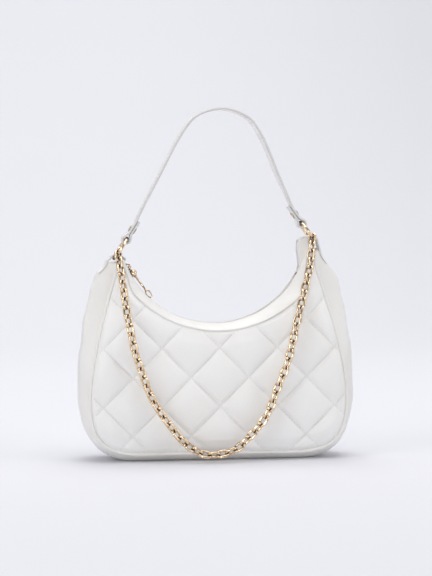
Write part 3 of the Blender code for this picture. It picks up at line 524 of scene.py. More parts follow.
# The side strip: one long band of smooth leather from wing tip to wing tip round the base, cut
# wider than its seams so that it stands out in a soft roll and folds a little under each wing.
strip_thickness = 0.0018
strip_bulge = 0.0185
strip_bulge_shares = (
    (0.0, 0.46), (0.30, 0.46), (0.42, 0.37), (0.55, 0.49),
    (0.70, 0.72), (0.82, 0.92), (0.90, 1.0), (1.0, 0.42),
)
strip_roll = (1.25, 2.4)
strip_tuck = 0.6
left_shoulder = 0.0041
left_shoulder_shares = ((0.0, 0.45), (0.0227, 1.0), (0.05, 0.0))
strip_folds = (
    (0.041, 0.0080, 0.0016), (0.066, 0.010, 0.0009), (0.958, 0.010, 0.0009), (0.925, 0.012, 0.0007),
)
fold_bow = 0.008
strip_ripple = 0.0005
ripple_grain = Vector((55, 70, 40))
flat_base = 0.004


def between(table, share):
    """Reads a table of (share, value) pairs, with a soft run from one pair to the next."""
    for (low, a), (high, b) in zip(table, table[1:]):
        if share <= high:
            return a + (b - a) * ease((share - low) / (high - low))
    return table[-1][1]


def strip_spot(share, across, lift=0.0):
    """A point of the side strip's outer face. across runs from -1 at the front to 1 at the back."""
    bulge = strip_bulge * between(strip_bulge_shares, abs(2 * share - 1))
    bulge += left_shoulder * between(left_shoulder_shares, share)
    full = min(1.0, strip_roll[0] * (1 - abs(across) ** strip_roll[1]))
    flat = panel_seam.at(share) + panel_seam.out(share) * (bulge * full + lift)
    y = across * (seam_depth(share) - piping_radius * strip_tuck)
    return Vector((flat.x, y, max(0.0, flat.y)))


def creased_strip(share, across, lift=0.0):
    """The same point with the leather's soft folds and its slight unevenness."""
    for middle, width, sink in strip_folds:
        away = (share - middle + fold_bow * across * across) / width
        lift -= sink * (1 - across * across) * math.exp(-away * away)
    spot = strip_spot(share, across)
    if spot.z > flat_base:
        ripple = noise.noise(spot * ripple_grain)
        lift += strip_ripple * ripple * (1 - across * across)
    return strip_spot(share, across, lift)


side_leather = leather("side_leather", (0.86, 0.85, 0.83), 0.42, 1250, 0.00007)
strip_columns = 300
strip_rows = 28
grid = []
for i in range(strip_columns + 1):
    share = i / strip_columns
    grid.append([creased_strip(share, 2 * j / strip_rows - 1) for j in range(strip_rows + 1)])
side_strip = sewn_sheet("side_strip", grid, strip_thickness, 1)
wear(side_strip, side_leather, "bag", "smooth_leather", "side_gusset")


# The piping: a cord wrapped in a bias strip of the same leather, caught in both seams between the
# panels and the side strip, so that it stands proud as a thin round edge.
def way_at(points, i):
    """The way that a row of points runs past one of them."""
    return points[min(i + 1, len(points) - 1)] - points[max(i - 1, 0)]


def round_cord(bm, points, radius, sides):
    """A round cord through points, with closed ends."""
    rings = []
    side = way_at(points, 0).normalized().orthogonal().normalized()
    for i, point in enumerate(points):
        along = way_at(points, i).normalized()
        side = (side - along * side.dot(along)).normalized()
        rings.append(round_of(point, side, along.cross(side), radius, sides))
    tube(bm, rings)


piping_steps = 320
piping_waver = 0.00015
piping_grain = 90
for label, side in (("front", -1), ("back", 1)):
    points = []
    for i in range(piping_steps + 1):
        share = i / piping_steps
        x, z = panel_seam.at(share)
        waver = piping_waver * noise.noise(Vector((x * piping_grain, side, z * piping_grain)))
        points.append(Vector((x, side * (seam_depth(share) + waver), z)))
    bm = bmesh.new()
    round_cord(bm, points, piping_radius, sides=14)
    cord = mesh_piece(f"{label}_edge_piping", bm)
    wear(cord, side_leather, "bag", "smooth_leather", f"{label}_piping")


# The top strips: a curved band of smooth leather on each side of the zip, turned in at both edges
# and topstitched along the zip. Past the zip's right end they stand up beside the tab to the ring.
strip_edge_thickness = 0.0016
lip_layer = 0.6
lip_swell = 0.0004
lip_squareness = 6
lip_waver = 0.0003
lip_grain = 60
zip_radius = 0.0940
zip_bottom = 0.1285
zip_centre_x = -0.0025
zip_left = math.radians(-70)
zip_right = math.radians(62)
lip_edge_y = 0.0058
ear_root = 0.97
lip_ears = (
    ((-0.62, -0.53, 0.80), (-1.28, -1.72, 0.66)),
    ((-0.59, -0.10, 0.74), (-1.42, -0.70, 0.67)),
    ((-0.71, 0.42, 0.69), (-1.34, 0.18, 0.68)),
)
lip_hem = ((0.0003, 0.0002), (0.0005, 0.0007), (0.00035, 0.0014), (-0.0006, 0.0019))
zip_hem = ((0.0002, 0.00012), (0.00035, 0.0004), (0.00025, 0.0009), (-0.0002, 0.0012))
ring_radius = 0.0117
ring_wire = 0.0014
rings_at = {
    "left": (Vector((-0.09212, 0, 0.2019)), math.radians(-33)),
    "right": (Vector((0.089003, 0, 0.217206)), math.radians(36)),
}


def zip_spot(angle, rise=0.0):
    """A point on the zip's arc in X-Z, raised towards the arc's centre."""
    radius = zip_radius - rise
    x = zip_centre_x + radius * math.sin(angle)
    return Vector((x, zip_bottom + zip_radius - radius * math.cos(angle)))


def lip_spot(share, rise, side):
    """A point of a top strip's upper face, from the seam at rise = 0 to the zip at rise = 1."""
    seam = mouth_seam.at(share) - mouth_seam.out(share) * (gap + strip_edge_thickness)
    edge = zip_spot(zip_left + (zip_right - zip_left) * share, strip_edge_thickness)
    flat = seam.lerp(edge, math.sin(math.pi / 2 * rise))
    depth = lip_depth(share) + panel_thickness / 2
    depth += (lip_edge_y - depth) * rise
    swollen = lip_swell * (1 - (2 * rise - 1) ** lip_squareness) + lip_waver * noise.noise(
        Vector((flat.x * lip_grain, side * 5 + rise * 2, flat.y * lip_grain))
    )
    flat = flat - mouth_seam.out(share) * swollen
    return Vector((flat.x, side * depth, flat.y))


def ring_top(label, sign):
    """The middle of a ring's wire at its top or bottom, and the way the strap pulls, in X-Z."""
    centre, lean = rings_at[label]
    way = Vector((-math.sin(lean), math.cos(lean)))
    return centre.xz + sign * ring_radius * way, way


def lip_ear(rise, side, steps):
    """Points from a top strip's right end on to the ring, at one rise."""
    wire = ring_top("right", -1)[0]
    marks = [lip_spot(ear_root, rise, side), lip_spot(1.0, rise, side)]
    for outer, inner in lip_ears:
        x, z, depth = ring_radius * Vector(outer).lerp(Vector(inner), rise)
        marks.append(Vector((wire.x + x, side * depth, wire.y + z)))
    line = SewnLine(marks)
    first = (marks[1] - marks[0]).length / line.length
    return [line.at(first + (1 - first) * k / steps) for k in range(1, steps + 1)]


def turned_edge(row, inner, hem, under):
    """Rows that carry a sheet's edge out and round underneath itself, as a hem does."""
    rows = []
    for out, down in hem:
        turned = []
        for i, spot in enumerate(row):
            along = way_at(row, i)
            away = (spot - inner[i]).normalized()
            turned.append(spot + away * out + along.cross(away).normalized() * under * down)
        rows.append(turned)
    return rows


lip_columns = 220
lip_rows = 16
ear_columns = 28
stitch_rise = 0.87
lip_stitch_pitch = 0.0032
lip_stitch_inset = 0.012
near_along = 0.004
near_across = 0.05
top_thread = thread("top_thread", (0.80, 0.785, 0.755))
zip_length = zip_radius * (zip_right - zip_left)
for label, side in (("front", -1), ("back", 1)):
    grid = []
    for j in range(lip_rows + 1):
        rise = j / lip_rows
        row = [lip_spot(i / lip_columns, rise, side) for i in range(lip_columns + 1)]
        grid.append(row + lip_ear(rise, side, ear_columns))
    outer = turned_edge(grid[0], grid[2], lip_hem, -side)
    inner = turned_edge(grid[-1], grid[-3], zip_hem, side)
    grid = outer[::-1] + grid + inner
    lip = sewn_sheet(f"{label}_lip", grid, strip_edge_thickness * lip_layer, -side, cut_edges=False)
    wear(lip, side_leather, "bag", "smooth_leather", f"{label}_top_strip")

    def row_spot(share):
        return lip_spot(share, stitch_rise, side)

    def row_up(share):
        before, after = (lip_spot(share + t, stitch_rise, side) for t in (-near_along, near_along))
        low, high = (lip_spot(share, stitch_rise + t, side) for t in (-near_across, near_across))
        up = (after - before).cross(high - low).normalized()
        return up if up.z > 0 else -up

    bm = bmesh.new()
    stitch_row(bm, row_spot, row_up, zip_length, lip_stitch_pitch, lip_stitch_inset)
    wear(mesh_piece(f"{label}_lip_stitches", bm), top_thread, "bag", "smooth_leather")


# The wing tips: the side strip's ends are turned in over the panels' tips and sewn down between
# the top strips, so that no cut edge or hole shows under the rings.
turned_rows = 10
turned_columns = 24
turned_tuck = 0.0010
turned_thickness = 0.0009
turned_slope = 0.6
for label, tip, outward, hump in (("left", 0.0, -1, -0.0010), ("right", 1.0, 1, 0.0072)):
    seam = lip_depth(tip) + panel_thickness / 2
    grid = []
    for j in range(turned_rows + 1):
        row = []
        for k in range(turned_columns + 1):
            across = 2 * k / turned_columns - 1
            rise = min(1.0, seam * (1 - abs(across)) / (seam - lip_edge_y))
            inner = lip_spot(tip, rise, 1 if across > 0 else -1)
            inner = Vector((inner.x, across * seam, inner.z - turned_tuck))
            spot = creased_strip(tip, across).lerp(inner, j / turned_rows)
            swell_up = math.sin(math.pi * (j / turned_rows) ** turned_slope)
            spot.z += hump * swell_up * (1 - across * across)
            row.append(spot)
        grid.append(row)
    name = f"{label}_strip_end"
    turned_end = sewn_sheet(name, grid, turned_thickness, outward, cut_edges=False)
    wear(turned_end, side_leather, "bag", "smooth_leather")


# The zip tapes: two woven polyester tapes sewn under the top strips, whose corded inner edges
# carry the teeth.
tape_inner_y = 0.0041
tape_outer_y = 0.0072
tape_thickness = 0.0007
tape_clearance = 0.0008
tape_end = 0.99


def weave(name, colour, threads, depth):
    """Plain woven cloth: two crossing sets of threads, a little uneven."""
    made, tree, shader, place = shader_tree(name)
    cloth = tree.nodes.new("ShaderNodeMath")
    cloth.operation = "MAXIMUM"
    for i, direction in enumerate(("X", "Z")):
        wave = tuned(tree, "TexWave", place, scale=threads, distortion=1.2, detail_scale=4)
        wave.bands_direction = direction
        tree.links.new(wave.outputs["Fac"], cloth.inputs[i])
    tone = two_tones(tree, cloth.outputs["Value"], shaded(colour, 0.72), colour)
    tree.links.new(tone, shader.inputs["Base Color"])
    relief(tree, shader, cloth.outputs["Value"], depth)
    shader.inputs["Roughness"].default_value = 0.8
    shader.inputs["Sheen Weight"].default_value = 0.2
    return made


def under_lip(share, depth, drop, side):
    """A point under a top strip, at a depth from the middle plane and a drop below its face."""
    step = 0.01
    seam = lip_depth(share) + panel_thickness / 2
    rise = (seam - max(depth, lip_edge_y)) / (seam - lip_edge_y)
    here = lip_spot(share, rise, side)
    along = lip_spot(share + step, rise, side) - lip_spot(share - step, rise, side)
    over = lip_spot(share, rise - step, side) - lip_spot(share, rise + step, side)
    down = Vector((here.x - zip_centre_x, 0, here.z - zip_bottom - zip_radius)).normalized()
    here = here + down * drop / abs(down.dot(along.cross(over).normalized()))
    return Vector((here.x, side * depth, here.z))


tape_cloth = weave("tape_cloth", (0.80, 0.79, 0.765), 420, 0.00012)
tape_rows = 6
for label, side in (("front", -1), ("back", 1)):
    grid = []
    for j in range(tape_rows + 1):
        depth = tape_outer_y + (tape_inner_y - tape_outer_y) * j / tape_rows
        drop = strip_edge_thickness + tape_clearance
        grid.append([
            under_lip(tape_end * i / lip_columns, depth, drop, side) for i in range(lip_columns + 1)
        ])
    tape = sewn_sheet(f"{label}_tape", grid, tape_thickness, -side, cut_edges=False)
    wear(tape, tape_cloth, "bag", "zip_tape", f"{label}_zip_tape")


# The zip teeth: moulded resin, one small block for each tooth with a nose that locks between the
# two teeth facing it. Both rows meet in the middle of the zip.
tooth_pitch = 0.0024
tooth_thickness = 0.0018
tooth_length = 0.00115
stop_length = 0.0030
shank_y = 0.0038
tooth_bevel = 0.00028
nose_size = (tooth_length * 1.22, 0.0009, tooth_thickness * 0.8)
nose_bevel = 0.0003
nose_past_middle = 0.0001
stop_bevel = 0.0005
row_starts = {-1: 0.25, 1: 0.75}


def on_zip(angle, rise=0.0):
    """A placing on the zip's arc, with X along the zip and Z up towards the arc's centre."""
    x, z = zip_spot(angle, rise)
    return Matrix.Translation(Vector((x, 0, z))) @ Matrix.Rotation(-angle, 4, "Y")


def soft_block(bm, size, placing, bevel, segments=2):
    """Adds a block with rounded edges to bm."""
    made = bmesh.ops.create_cube(bm, size=1.0, matrix=placing @ Matrix.Diagonal((*size, 1.0)))
    edges = list(dict.fromkeys(edge for vert in made["verts"] for edge in vert.link_edges))
    bmesh.ops.bevel(bm, geom=edges, offset=bevel, segments=segments, affect="EDGES")


def resin(name, colour):
    """Moulded resin with a faint skin texture from its mould."""
    made, tree, shader, place = shader_tree(name)
    skin = tuned(tree, "TexNoise", place, scale=900, detail=4).outputs["Fac"]
    tone = two_tones(tree, skin, shaded(colour, 0.9), colour)
    tree.links.new(tone, shader.inputs["Base Color"])
    relief(tree, shader, skin, 0.00004)
    shader.inputs["Roughness"].default_value = 0.38
    return made


tooth_resin = resin("tooth_resin", (0.83, 0.82, 0.79))
first_tooth = zip_left + (stop_length + gap) / zip_radius
tooth_room = zip_right - (stop_length + gap) / zip_radius - first_tooth
tooth_count = int(tooth_room / (tooth_pitch / zip_radius))
for label, side in (("front", -1), ("back", 1)):
    bm = bmesh.new()
    for k in range(tooth_count):
        angle = first_tooth + (k + row_starts[side]) * tooth_pitch / zip_radius
        here = on_zip(angle, tooth_thickness / 2)
        middle = side * (shank_y + gap) / 2
        size = (tooth_length, shank_y - gap, tooth_thickness)
        soft_block(bm, size, here @ Matrix.Translation((0, middle, 0)), tooth_bevel)
        nose = here @ Matrix.Translation((0, side * nose_past_middle, 0))
        soft_block(bm, nose_size, nose, nose_bevel)
    wear(mesh_piece(f"{label}_teeth", bm), tooth_resin, "bag", "zip_teeth", f"{label}_zip_teeth")


# The zip's end stops and slider: die-cast metal, plated gold. The slider is two flared plates
# joined by a wedge at its mouth, with side flanges and a bridge for the pull.
slider_length = 0.0095
slider_width = 0.0068
slider_plate = 0.0011
bridge_height = 0.0036
bridge_wire = 0.0008
bridge_squareness = 0.8
bridge_steps = 24
plate_bevel = slider_plate * 0.35
wedge_length = 0.0022
wedge_width = 0.0010
wedge_back = slider_length * 0.36
flange_size = (slider_length * 0.62, 0.0007, 0.0007)
flange_inset = (0.0008, 0.0004, 0.0002)
casting_bevel = 0.0003
flange_bevel = 0.00025


def plated(name, colour, roughness):
    """Polished plating: hairline scratches, small tone changes and painted shade, a near-black brown,
    in its nooks.
    """
    made, tree, shader, place = shader_tree(name)
    brushed = tuned(tree, "Mapping", place, scale=(1, 6, 1)).outputs["Vector"]
    scratches = tuned(tree, "TexNoise", brushed, scale=900, detail=6).outputs["Fac"]
    film = tuned(tree, "TexNoise", place, scale=160, detail=4).outputs["Fac"]
    tone = two_tones(tree, film, shaded(colour, 0.86, 0.82, 0.72), colour, 0.35, 0.65)
    # Painted shade: ambient occlusion turns the plating a near-black brown in its nooks and where
    # parts touch.
    nook = tree.nodes.new("ShaderNodeAmbientOcclusion")
    nook.samples = 8
    nook.inputs["Distance"].default_value = 0.003
    painted_nook_shade = tuned(tree, "MapRange", nook.outputs["AO"], from_min=0.45, from_max=1.0)
    mix = tree.nodes.new("ShaderNodeMix")
    mix.data_type = "RGBA"
    mix.inputs["A"].default_value = (*shaded(colour, 0.13, 0.09, 0.06), 1)
    tree.links.new(painted_nook_shade.outputs["Result"], mix.inputs["Factor"])
    tree.links.new(tone, mix.inputs["B"])
    tree.links.new(mix.outputs["Result"], shader.inputs["Base Color"])
    sheen = tuned(tree, "MapRange", scratches, to_min=roughness - 0.05, to_max=roughness + 0.10)
    tree.links.new(sheen.outputs["Result"], shader.inputs["Roughness"])
    relief(tree, shader, scratches, 0.00003, strength=0.25)
    shader.inputs["Metallic"].default_value = 1.0
    return made


gold = plated("warm_gold_plate", (0.93, 0.74, 0.54), 0.12)
half_stop = stop_length / 2 / zip_radius
for label, angle in (("left", zip_left + half_stop), ("right", zip_right - half_stop)):
    bm = bmesh.new()
    size = (stop_length, 2 * (tape_inner_y - gap), tooth_thickness)
    soft_block(bm, size, on_zip(angle), stop_bevel, segments=3)
    wear(mesh_piece(f"{label}_stop", bm), gold, "bag", "gold_metal", f"{label}_zip_stop")

closed = zip_left + (stop_length + gap + slider_length / 2) / zip_radius
slider_at = on_zip(closed)
plate_inner = tooth_thickness / 2 + gap
plate_top = plate_inner + slider_plate
half_width = slider_width / 2
plate_outline = [
    (-0.5, 0.30), (-0.46, 0.42), (-0.36, 0.5), (0.0, 0.5), (0.30, 0.43), (0.46, 0.37), (0.5, 0.28),
]
plate_outline = plate_outline + [(x, -y) for x, y in reversed(plate_outline)]
bm = bmesh.new()
for sign in (1, -1):
    low, high = [], []
    for x, y in plate_outline:
        flat = Vector((x * slider_length, y * slider_width, 0))
        low.append(bm.verts.new(slider_at @ (flat + Vector((0, 0, sign * plate_inner)))))
        high.append(bm.verts.new(slider_at @ (flat + Vector((0, 0, sign * plate_top)))))
    count = len(plate_outline)
    rim = [
        bm.faces.new((low[k], low[(k + 1) % count], high[(k + 1) % count], high[k]))
        for k in range(count)
    ]
    faces = rim + [bm.faces.new(low[::-1]), bm.faces.new(high)]
    edges = [edge for face in faces[-2:] for edge in face.edges]
    bmesh.ops.bevel(bm, geom=edges, offset=plate_bevel, segments=3, affect="EDGES")
wedge = slider_at @ Matrix.Translation((-wedge_back, 0, 0))
soft_block(bm, (wedge_length, wedge_width, 2 * plate_inner + slider_plate), wedge, casting_bevel)
for sign in (1, -1):
    for level in (1, -1):
        x, y, z = flange_inset
        flange_at = Vector((x, sign * (half_width - y), level * (plate_inner - z)))
        soft_block(bm, flange_size, slider_at @ Matrix.Translation(flange_at), flange_bevel)
half_bridge = slider_length / 2 - 2 * bridge_wire
bridge = []
for i in range(bridge_steps + 1):
    bow = math.pi * i / bridge_steps
    rise = plate_top - slider_plate / 2 + bridge_height * math.sin(bow) ** bridge_squareness
    bridge.append(slider_at @ Vector((half_bridge * math.cos(bow), 0, rise)))
round_cord(bm, bridge, bridge_wire, sides=14)
wear(mesh_piece("slider_casting", bm), gold, "slider", "gold_metal", "zip_slider")


# The zip pull: a small wire link through the bridge, a round bead, a thin turned rod and a wire
# loop at its end, all plated like the slider.
pull_wire = 0.0007
pull_link = (0.0022, 0.0023)
bead_from_bridge = 0.0076
bead_radius = 0.0036
rod_radius = 0.0010
rod_length = 0.0220
pull_loop = (0.0038, 0.0020)
pull_rest = math.radians(12)
bead_steps = 16
bead_hold = 0.9
top_collar = ((0.0, 1.45), (0.0008, 1.45), (0.0012, 1.0))
end_collar = ((0.0016, 1.0), (0.0012, 1.45), (0.0003, 1.45), (0.0, 1.0))


def wire_outline(reach, half_width, arc_steps=11, side_steps=3):
    """Points round a wire link's centreline: two bowed ends joined by straight sides."""
    bow_centre = reach - half_width
    points = []
    for end in (1, -1):
        for i in range(arc_steps):
            bow = math.pi * i / (arc_steps - 1) - math.pi / 2
            x = bow_centre + half_width * math.cos(bow)
            points.append(Vector((end * x, end * half_width * math.sin(bow), 0)))
        for i in range(1, side_steps):
            along = bow_centre * (1 - 2 * i / side_steps)
            points.append(Vector((end * along, end * half_width, 0)))
    return points


def wire_link(bm, outline, wire, placing, sides=12):
    """Adds one closed wire link to bm. The outline lies flat in X-Y, and placing moves it."""
    rings = []
    for i, point in enumerate(outline):
        along = (outline[(i + 1) % len(outline)] - outline[i - 1]).normalized()
        out = Vector((along.y, -along.x, 0))
        rings.append(round_of(point, out, Vector((0, 0, 1)), wire, sides))
    tube(bm, rings, placing, endless=True)


def turned_profile(bm, profile, placing, sides=28):
    """Adds a turned piece to bm: a profile of (distance along X, radius) spun about X."""
    side, up = Vector((0, 1, 0)), Vector((0, 0, 1))
    tube(bm, [round_of(Vector((x, 0, 0)), side, up, radius, sides) for x, radius in profile], placing)


crown = plate_top - slider_plate / 2 + bridge_height
pull_pivot = crown - bridge_wire - gap - pull_wire
pull_at = slider_at @ Matrix.Translation((0, 0, pull_pivot)) @ Matrix.Rotation(-pull_rest, 4, "Y")
bm = bmesh.new()
link_at = pull_at @ Matrix.Translation((pull_link[0], 0, 0))
wire_link(bm, wire_outline(*pull_link), pull_wire, link_at)
bead = []
for i in range(1, bead_steps):
    bow = math.pi * i / bead_steps
    bead.append((bead_from_bridge - bead_radius * math.cos(bow), bead_radius * math.sin(bow)))
turned_profile(bm, bead, pull_at)
rod_start = bead_from_bridge + bead_radius * bead_hold
rod_end = bead_from_bridge + rod_length
rod = [(rod_start + x, rod_radius * girth) for x, girth in top_collar]
rod += [(rod_end - x, rod_radius * girth) for x, girth in end_collar]
turned_profile(bm, rod, pull_at)
loop_at = pull_at @ Matrix.Translation((rod_end + pull_loop[0] - pull_wire, 0, 0))
loop_at = loop_at @ Matrix.Rotation(math.pi / 2, 4, "X")
wire_link(bm, wire_outline(*pull_loop), pull_wire, loop_at)
wear(mesh_piece("bead_pull", bm), gold, "pull", "gold_metal", "zip_pull")


# The rings: round brass wire bent into a ring, brazed shut, polished and plated. One stands at
# each wing tip, and the strap, a tab and the chain all hang on it.
ring_steps = 96
for label, (centre, lean) in rings_at.items():
    circle = []
    for i in range(ring_steps):
        turn = 2 * math.pi * i / ring_steps
        circle.append(ring_radius * Vector((math.cos(turn), math.sin(turn), 0)))
    ring_at = Matrix.Translation(centre) @ Matrix.Rotation(math.pi / 2 - lean, 4, "Y")
    bm = bmesh.new()
    wire_link(bm, circle, ring_wire, ring_at, sides=20)
    body = f"{label}_ring_body"
    wear(mesh_piece(f"{label}_round_ring", bm), gold, body, "gold_metal", f"{label}_ring")


# The tabs: a short strip of leather at each wing tip, folded over the ring's lower wire with its
# ends sewn down outside and inside the wing. Its cut edges are painted.
tab_half_width = 0.0055
tab_thickness = 0.0018
tab_clearance = 0.0008
tab_end = 0.0227
tab_turn = math.radians(95)
tab_foot_steps = 8
tab_foot_lift = 0.25
tab_join_steps = 4
tab_leg_steps = 30
tab_saddle_reach = 0.005
tab_stitch_inset = 0.0014
tab_stitch_pitch = 0.0028
saddle_half_width = 0.0060
tab_legs = {
    "left": ((0.43, 0.18), (0.77, 0.13), (0.95, -0.10)),
    "right": (
        (-0.63, 0.40), (-1.12, 0.22), (-1.33, -0.40), (-1.25, -1.09), (-1.16, -1.73), (-1.20, -2.03),
    ),
}
tab_inner_turn = {"left": math.radians(-33), "right": math.radians(-50)}


def turned_about(centre, start, end, radius, steps=14):
    """Points round a ring's wire, from one angle to another."""
    points = []
    for i in range(steps + 1):
        angle = start + (end - start) * i / steps
        points.append(centre + radius * Vector((math.cos(angle), math.sin(angle))))
    return points


def sag(y):
    """How far a ring's wire curves away from its top at a distance from the middle plane, as far
    out as the leather follows it."""
    y = min(abs(y), saddle_half_width)
    return ring_radius - math.sqrt(ring_radius**2 - y**2)


def leather_band(name, stations, thickness, edge_steps=4, face_steps=14, pared=0):
    """A band with rounded, painted edges through stations: a point in X-Z, a half width and the
    way and share in which a ring's curve pulls its edges. Its first stations may be pared thin."""
    bm = bmesh.new()
    loops = []
    route = [point for point, half, toward in stations]
    for i, (point, half, toward) in enumerate(stations):
        along = way_at(route, i).normalized()
        normal = Vector((-along.y, along.x))
        radius = thickness / 2 * (0.5 + 0.5 * ease(i / pared) if pared else 1.0)
        flat_half = half - radius
        section = []
        for k in range(face_steps + 1):
            section.append((flat_half * (1 - 2 * k / face_steps), radius))
        for k in range(1, edge_steps):
            turn = math.pi * k / edge_steps
            section.append((-flat_half - radius * math.sin(turn), radius * math.cos(turn)))
        for k in range(face_steps + 1):
            section.append((flat_half * (2 * k / face_steps - 1), -radius))
        for k in range(1, edge_steps):
            turn = math.pi * k / edge_steps
            section.append((flat_half + radius * math.sin(turn), -radius * math.cos(turn)))
        loop = []
        for y, off in section:
            spot = point + normal * off + toward * sag(y)
            loop.append(bm.verts.new((spot.x, y, spot.y)))
        loops.append(loop)
    size = len(loops[0])
    for loop, after in zip(loops, loops[1:]):
        for k in range(size):
            beyond = (k + 1) % size
            face = bm.faces.new((loop[k], after[k], after[beyond], loop[beyond]))
            on_edge = face_steps <= k < face_steps + edge_steps or k >= 2 * face_steps + edge_steps
            face.material_index = 1 if on_edge else 0
    for cap in (loops[0], loops[-1][::-1]):
        bm.faces.new(cap).material_index = 1
    return mesh_piece(name, bm)


def band_stitches(bm, stations, thickness, inset, face, pitch=stitch_pitch):
    """Rows of stitches along both edges of a band's outer or inner face."""
    route = [point for point, half, toward in stations]
    length = SewnLine(route, smooth=False).length
    for row_side in (1, -1):
        track = []
        for i, (point, half, toward) in enumerate(stations):
            along = way_at(route, i).normalized()
            normal = Vector((-along.y, along.x))
            y = row_side * (half - inset)
            spot = point + normal * (face * thickness / 2) + toward * sag(y)
            track.append((Vector((spot.x, y, spot.y)), Vector((normal.x, 0, normal.y)) * face))
        row = SewnLine([spot for spot, normal in track], smooth=False)

        def up_at(share, row=row, track=track):
            here = row.at(share)
            return min(track, key=lambda one: (one[0] - here).length_squared)[1]

        stitch_row(bm, row.at, up_at, length, pitch, inset=0.004)


strap_leather = leather("strap_leather", (0.872, 0.865, 0.856), 0.42, 1150, 0.00007)
edge_paint = leather("edge_paint", (0.69, 0.686, 0.68), 0.34, 420, 0.00004)
band_thread = thread("band_thread", (0.80, 0.785, 0.755))
for label, wing in (("left", -1), ("right", 1)):
    wire, way = ring_top(label, -1)
    wrap = ring_wire + tab_clearance + tab_thickness / 2
    tip = 1.0 if wing > 0 else 0.0
    upward = math.atan2(way.y, way.x)
    path = []
    pulls = []
    for k in range(tab_foot_steps + 1):
        share = tip - wing * tab_end * (1 - k / tab_foot_steps)
        lift = tab_thickness * tab_foot_lift * (1 + k / tab_foot_steps)
        middle = creased_strip(share, 0, lift)
        edge = creased_strip(share, tab_half_width / seam_depth(share), lift)
        path.append(middle.xz)
        pulls.append((edge.xz - middle.xz) / sag(tab_half_width))
    pulls += pulls[-1:] * tab_join_steps
    bend = turned_about(wire, upward - wing * tab_turn, upward + wing * tab_inner_turn[label], wrap)
    join = SewnLine([path[-1], bend[0]], smooth=False)
    path += [join.at(k / tab_join_steps) for k in range(1, tab_join_steps)] + bend
    leg_points = [wire + ring_radius * Vector(share) for share in tab_legs[label]]
    leg = SewnLine(path[-2:] + leg_points)
    start = (path[-1] - path[-2]).length / leg.length
    for k in range(1, tab_leg_steps + 1):
        path.append(leg.at(start + (1 - start) * k / tab_leg_steps))
    stations = []
    for i, point in enumerate(path):
        pull = way * (1 - ease(((point - wire).length - wrap) / tab_saddle_reach))
        if i < len(pulls):
            pull = pulls[i].lerp(pull, max(0.0, (i - tab_foot_steps) / tab_join_steps))
        stations.append((point, tab_half_width, pull))
    tab = leather_band(f"{label}_ring_tab", stations, tab_thickness, pared=tab_foot_steps)
    wear(tab, strap_leather, "bag", "smooth_leather", f"{label}_tab")
    tab.data.materials.append(edge_paint)
    bm = bmesh.new()
    band_stitches(bm, stations, tab_thickness, tab_stitch_inset, wing, tab_stitch_pitch)
    wear(mesh_piece(f"{label}_tab_stitches", bm), band_thread, "bag", "smooth_leather")


# The shoulder strap: one long strap of leather, narrowed at both ends, where it goes under the
# ring's wire and back up against itself. A rivet holds the fold, and the edges are painted.
strap_half_width = 0.0095
strap_end_half_width = 0.0060
strap_thickness = 0.0022
strap_clearance = 0.0013
strap_top = 0.3355
strap_foot = 0.2120
strap_half_span = 0.0700
strap_fold = 0.019
strap_close = 0.0055
strap_straight = 0.0145
strap_taper = 0.040
saddle_reach = 0.016
strap_steps = 150
strap_stitch_inset = 0.0018
strap_stitch_start = 0.012
strap_arch = (
    (-0.964, 0.292), (-0.763, 0.509), (-0.551, 0.741), (-0.350, 0.907), (-0.157, 0.974),
    (0.056, 1.0), (0.270, 0.976), (0.479, 0.907), (0.659, 0.744), (0.830, 0.511), (0.981, 0.324),
)
strap_wrap = ring_wire + strap_clearance + strap_thickness / 2
layer = (strap_thickness + gap) / 2
left_wire, left_way = ring_top("left", 1)
right_wire, right_way = ring_top("right", 1)


def beside(wire, way, side, height):
    """A point of one of the two layers above a ring's wire, at a height along the strap's way."""
    return wire + way * height + side * layer * Vector((way.y, -way.x))


def straight(first, last, steps=6):
    """Points along a straight part of the strap."""
    return [first.lerp(last, k / steps) for k in range(steps + 1)]


quarter = math.pi / 2
arch = [
    Vector((x * strap_half_span, strap_foot + z * (strap_top - strap_foot))) for x, z in strap_arch
]
left_up = math.atan2(left_way.y, left_way.x)
right_up = math.atan2(right_way.y, right_way.x)
path = straight(
    beside(left_wire, left_way, 1, strap_fold), beside(left_wire, left_way, 1, strap_close)
)
path += turned_about(left_wire, left_up - quarter, left_up - 3 * quarter, strap_wrap)
strap_start = beside(left_wire, left_way, -1, strap_straight)
strap_finish = beside(right_wire, right_way, 1, strap_straight)
path += straight(beside(left_wire, left_way, -1, strap_close), strap_start)[:-1]
over = SewnLine([strap_start] + arch + [strap_finish])
path += [over.at(k / strap_steps) for k in range(strap_steps + 1)]
path += straight(strap_finish, beside(right_wire, right_way, 1, strap_close))[1:]
path += turned_about(right_wire, right_up + 3 * quarter, right_up + quarter, strap_wrap)
path += straight(
    beside(right_wire, right_way, -1, strap_close), beside(right_wire, right_way, -1, strap_fold)
)
stations = []
for point in path:
    wire, way = (left_wire, left_way) if point.x < 0 else (right_wire, right_way)
    away = (point - wire).length
    fade = 1 - ease((away - strap_wrap) / saddle_reach)
    widening = ease((away - strap_fold) / strap_taper)
    half = strap_end_half_width + (strap_half_width - strap_end_half_width) * widening
    stations.append((point, half, -fade * way))
carried = leather_band("long_strap", stations, strap_thickness)
wear(carried, strap_leather, "strap", "smooth_leather", "shoulder_strap")
carried.data.materials.append(edge_paint)
bm = bmesh.new()
sewn = []
for one in stations:
    from_rings = min((one[0] - left_wire).length, (one[0] - right_wire).length)
    if from_rings > strap_straight and one[0].y > strap_foot + strap_stitch_start:
        sewn.append(one)
for face in (1, -1):
    band_stitches(bm, sewn, strap_thickness, strap_stitch_inset, face)
wear(mesh_piece("strap_stitches", bm), band_thread, "strap", "smooth_leather")


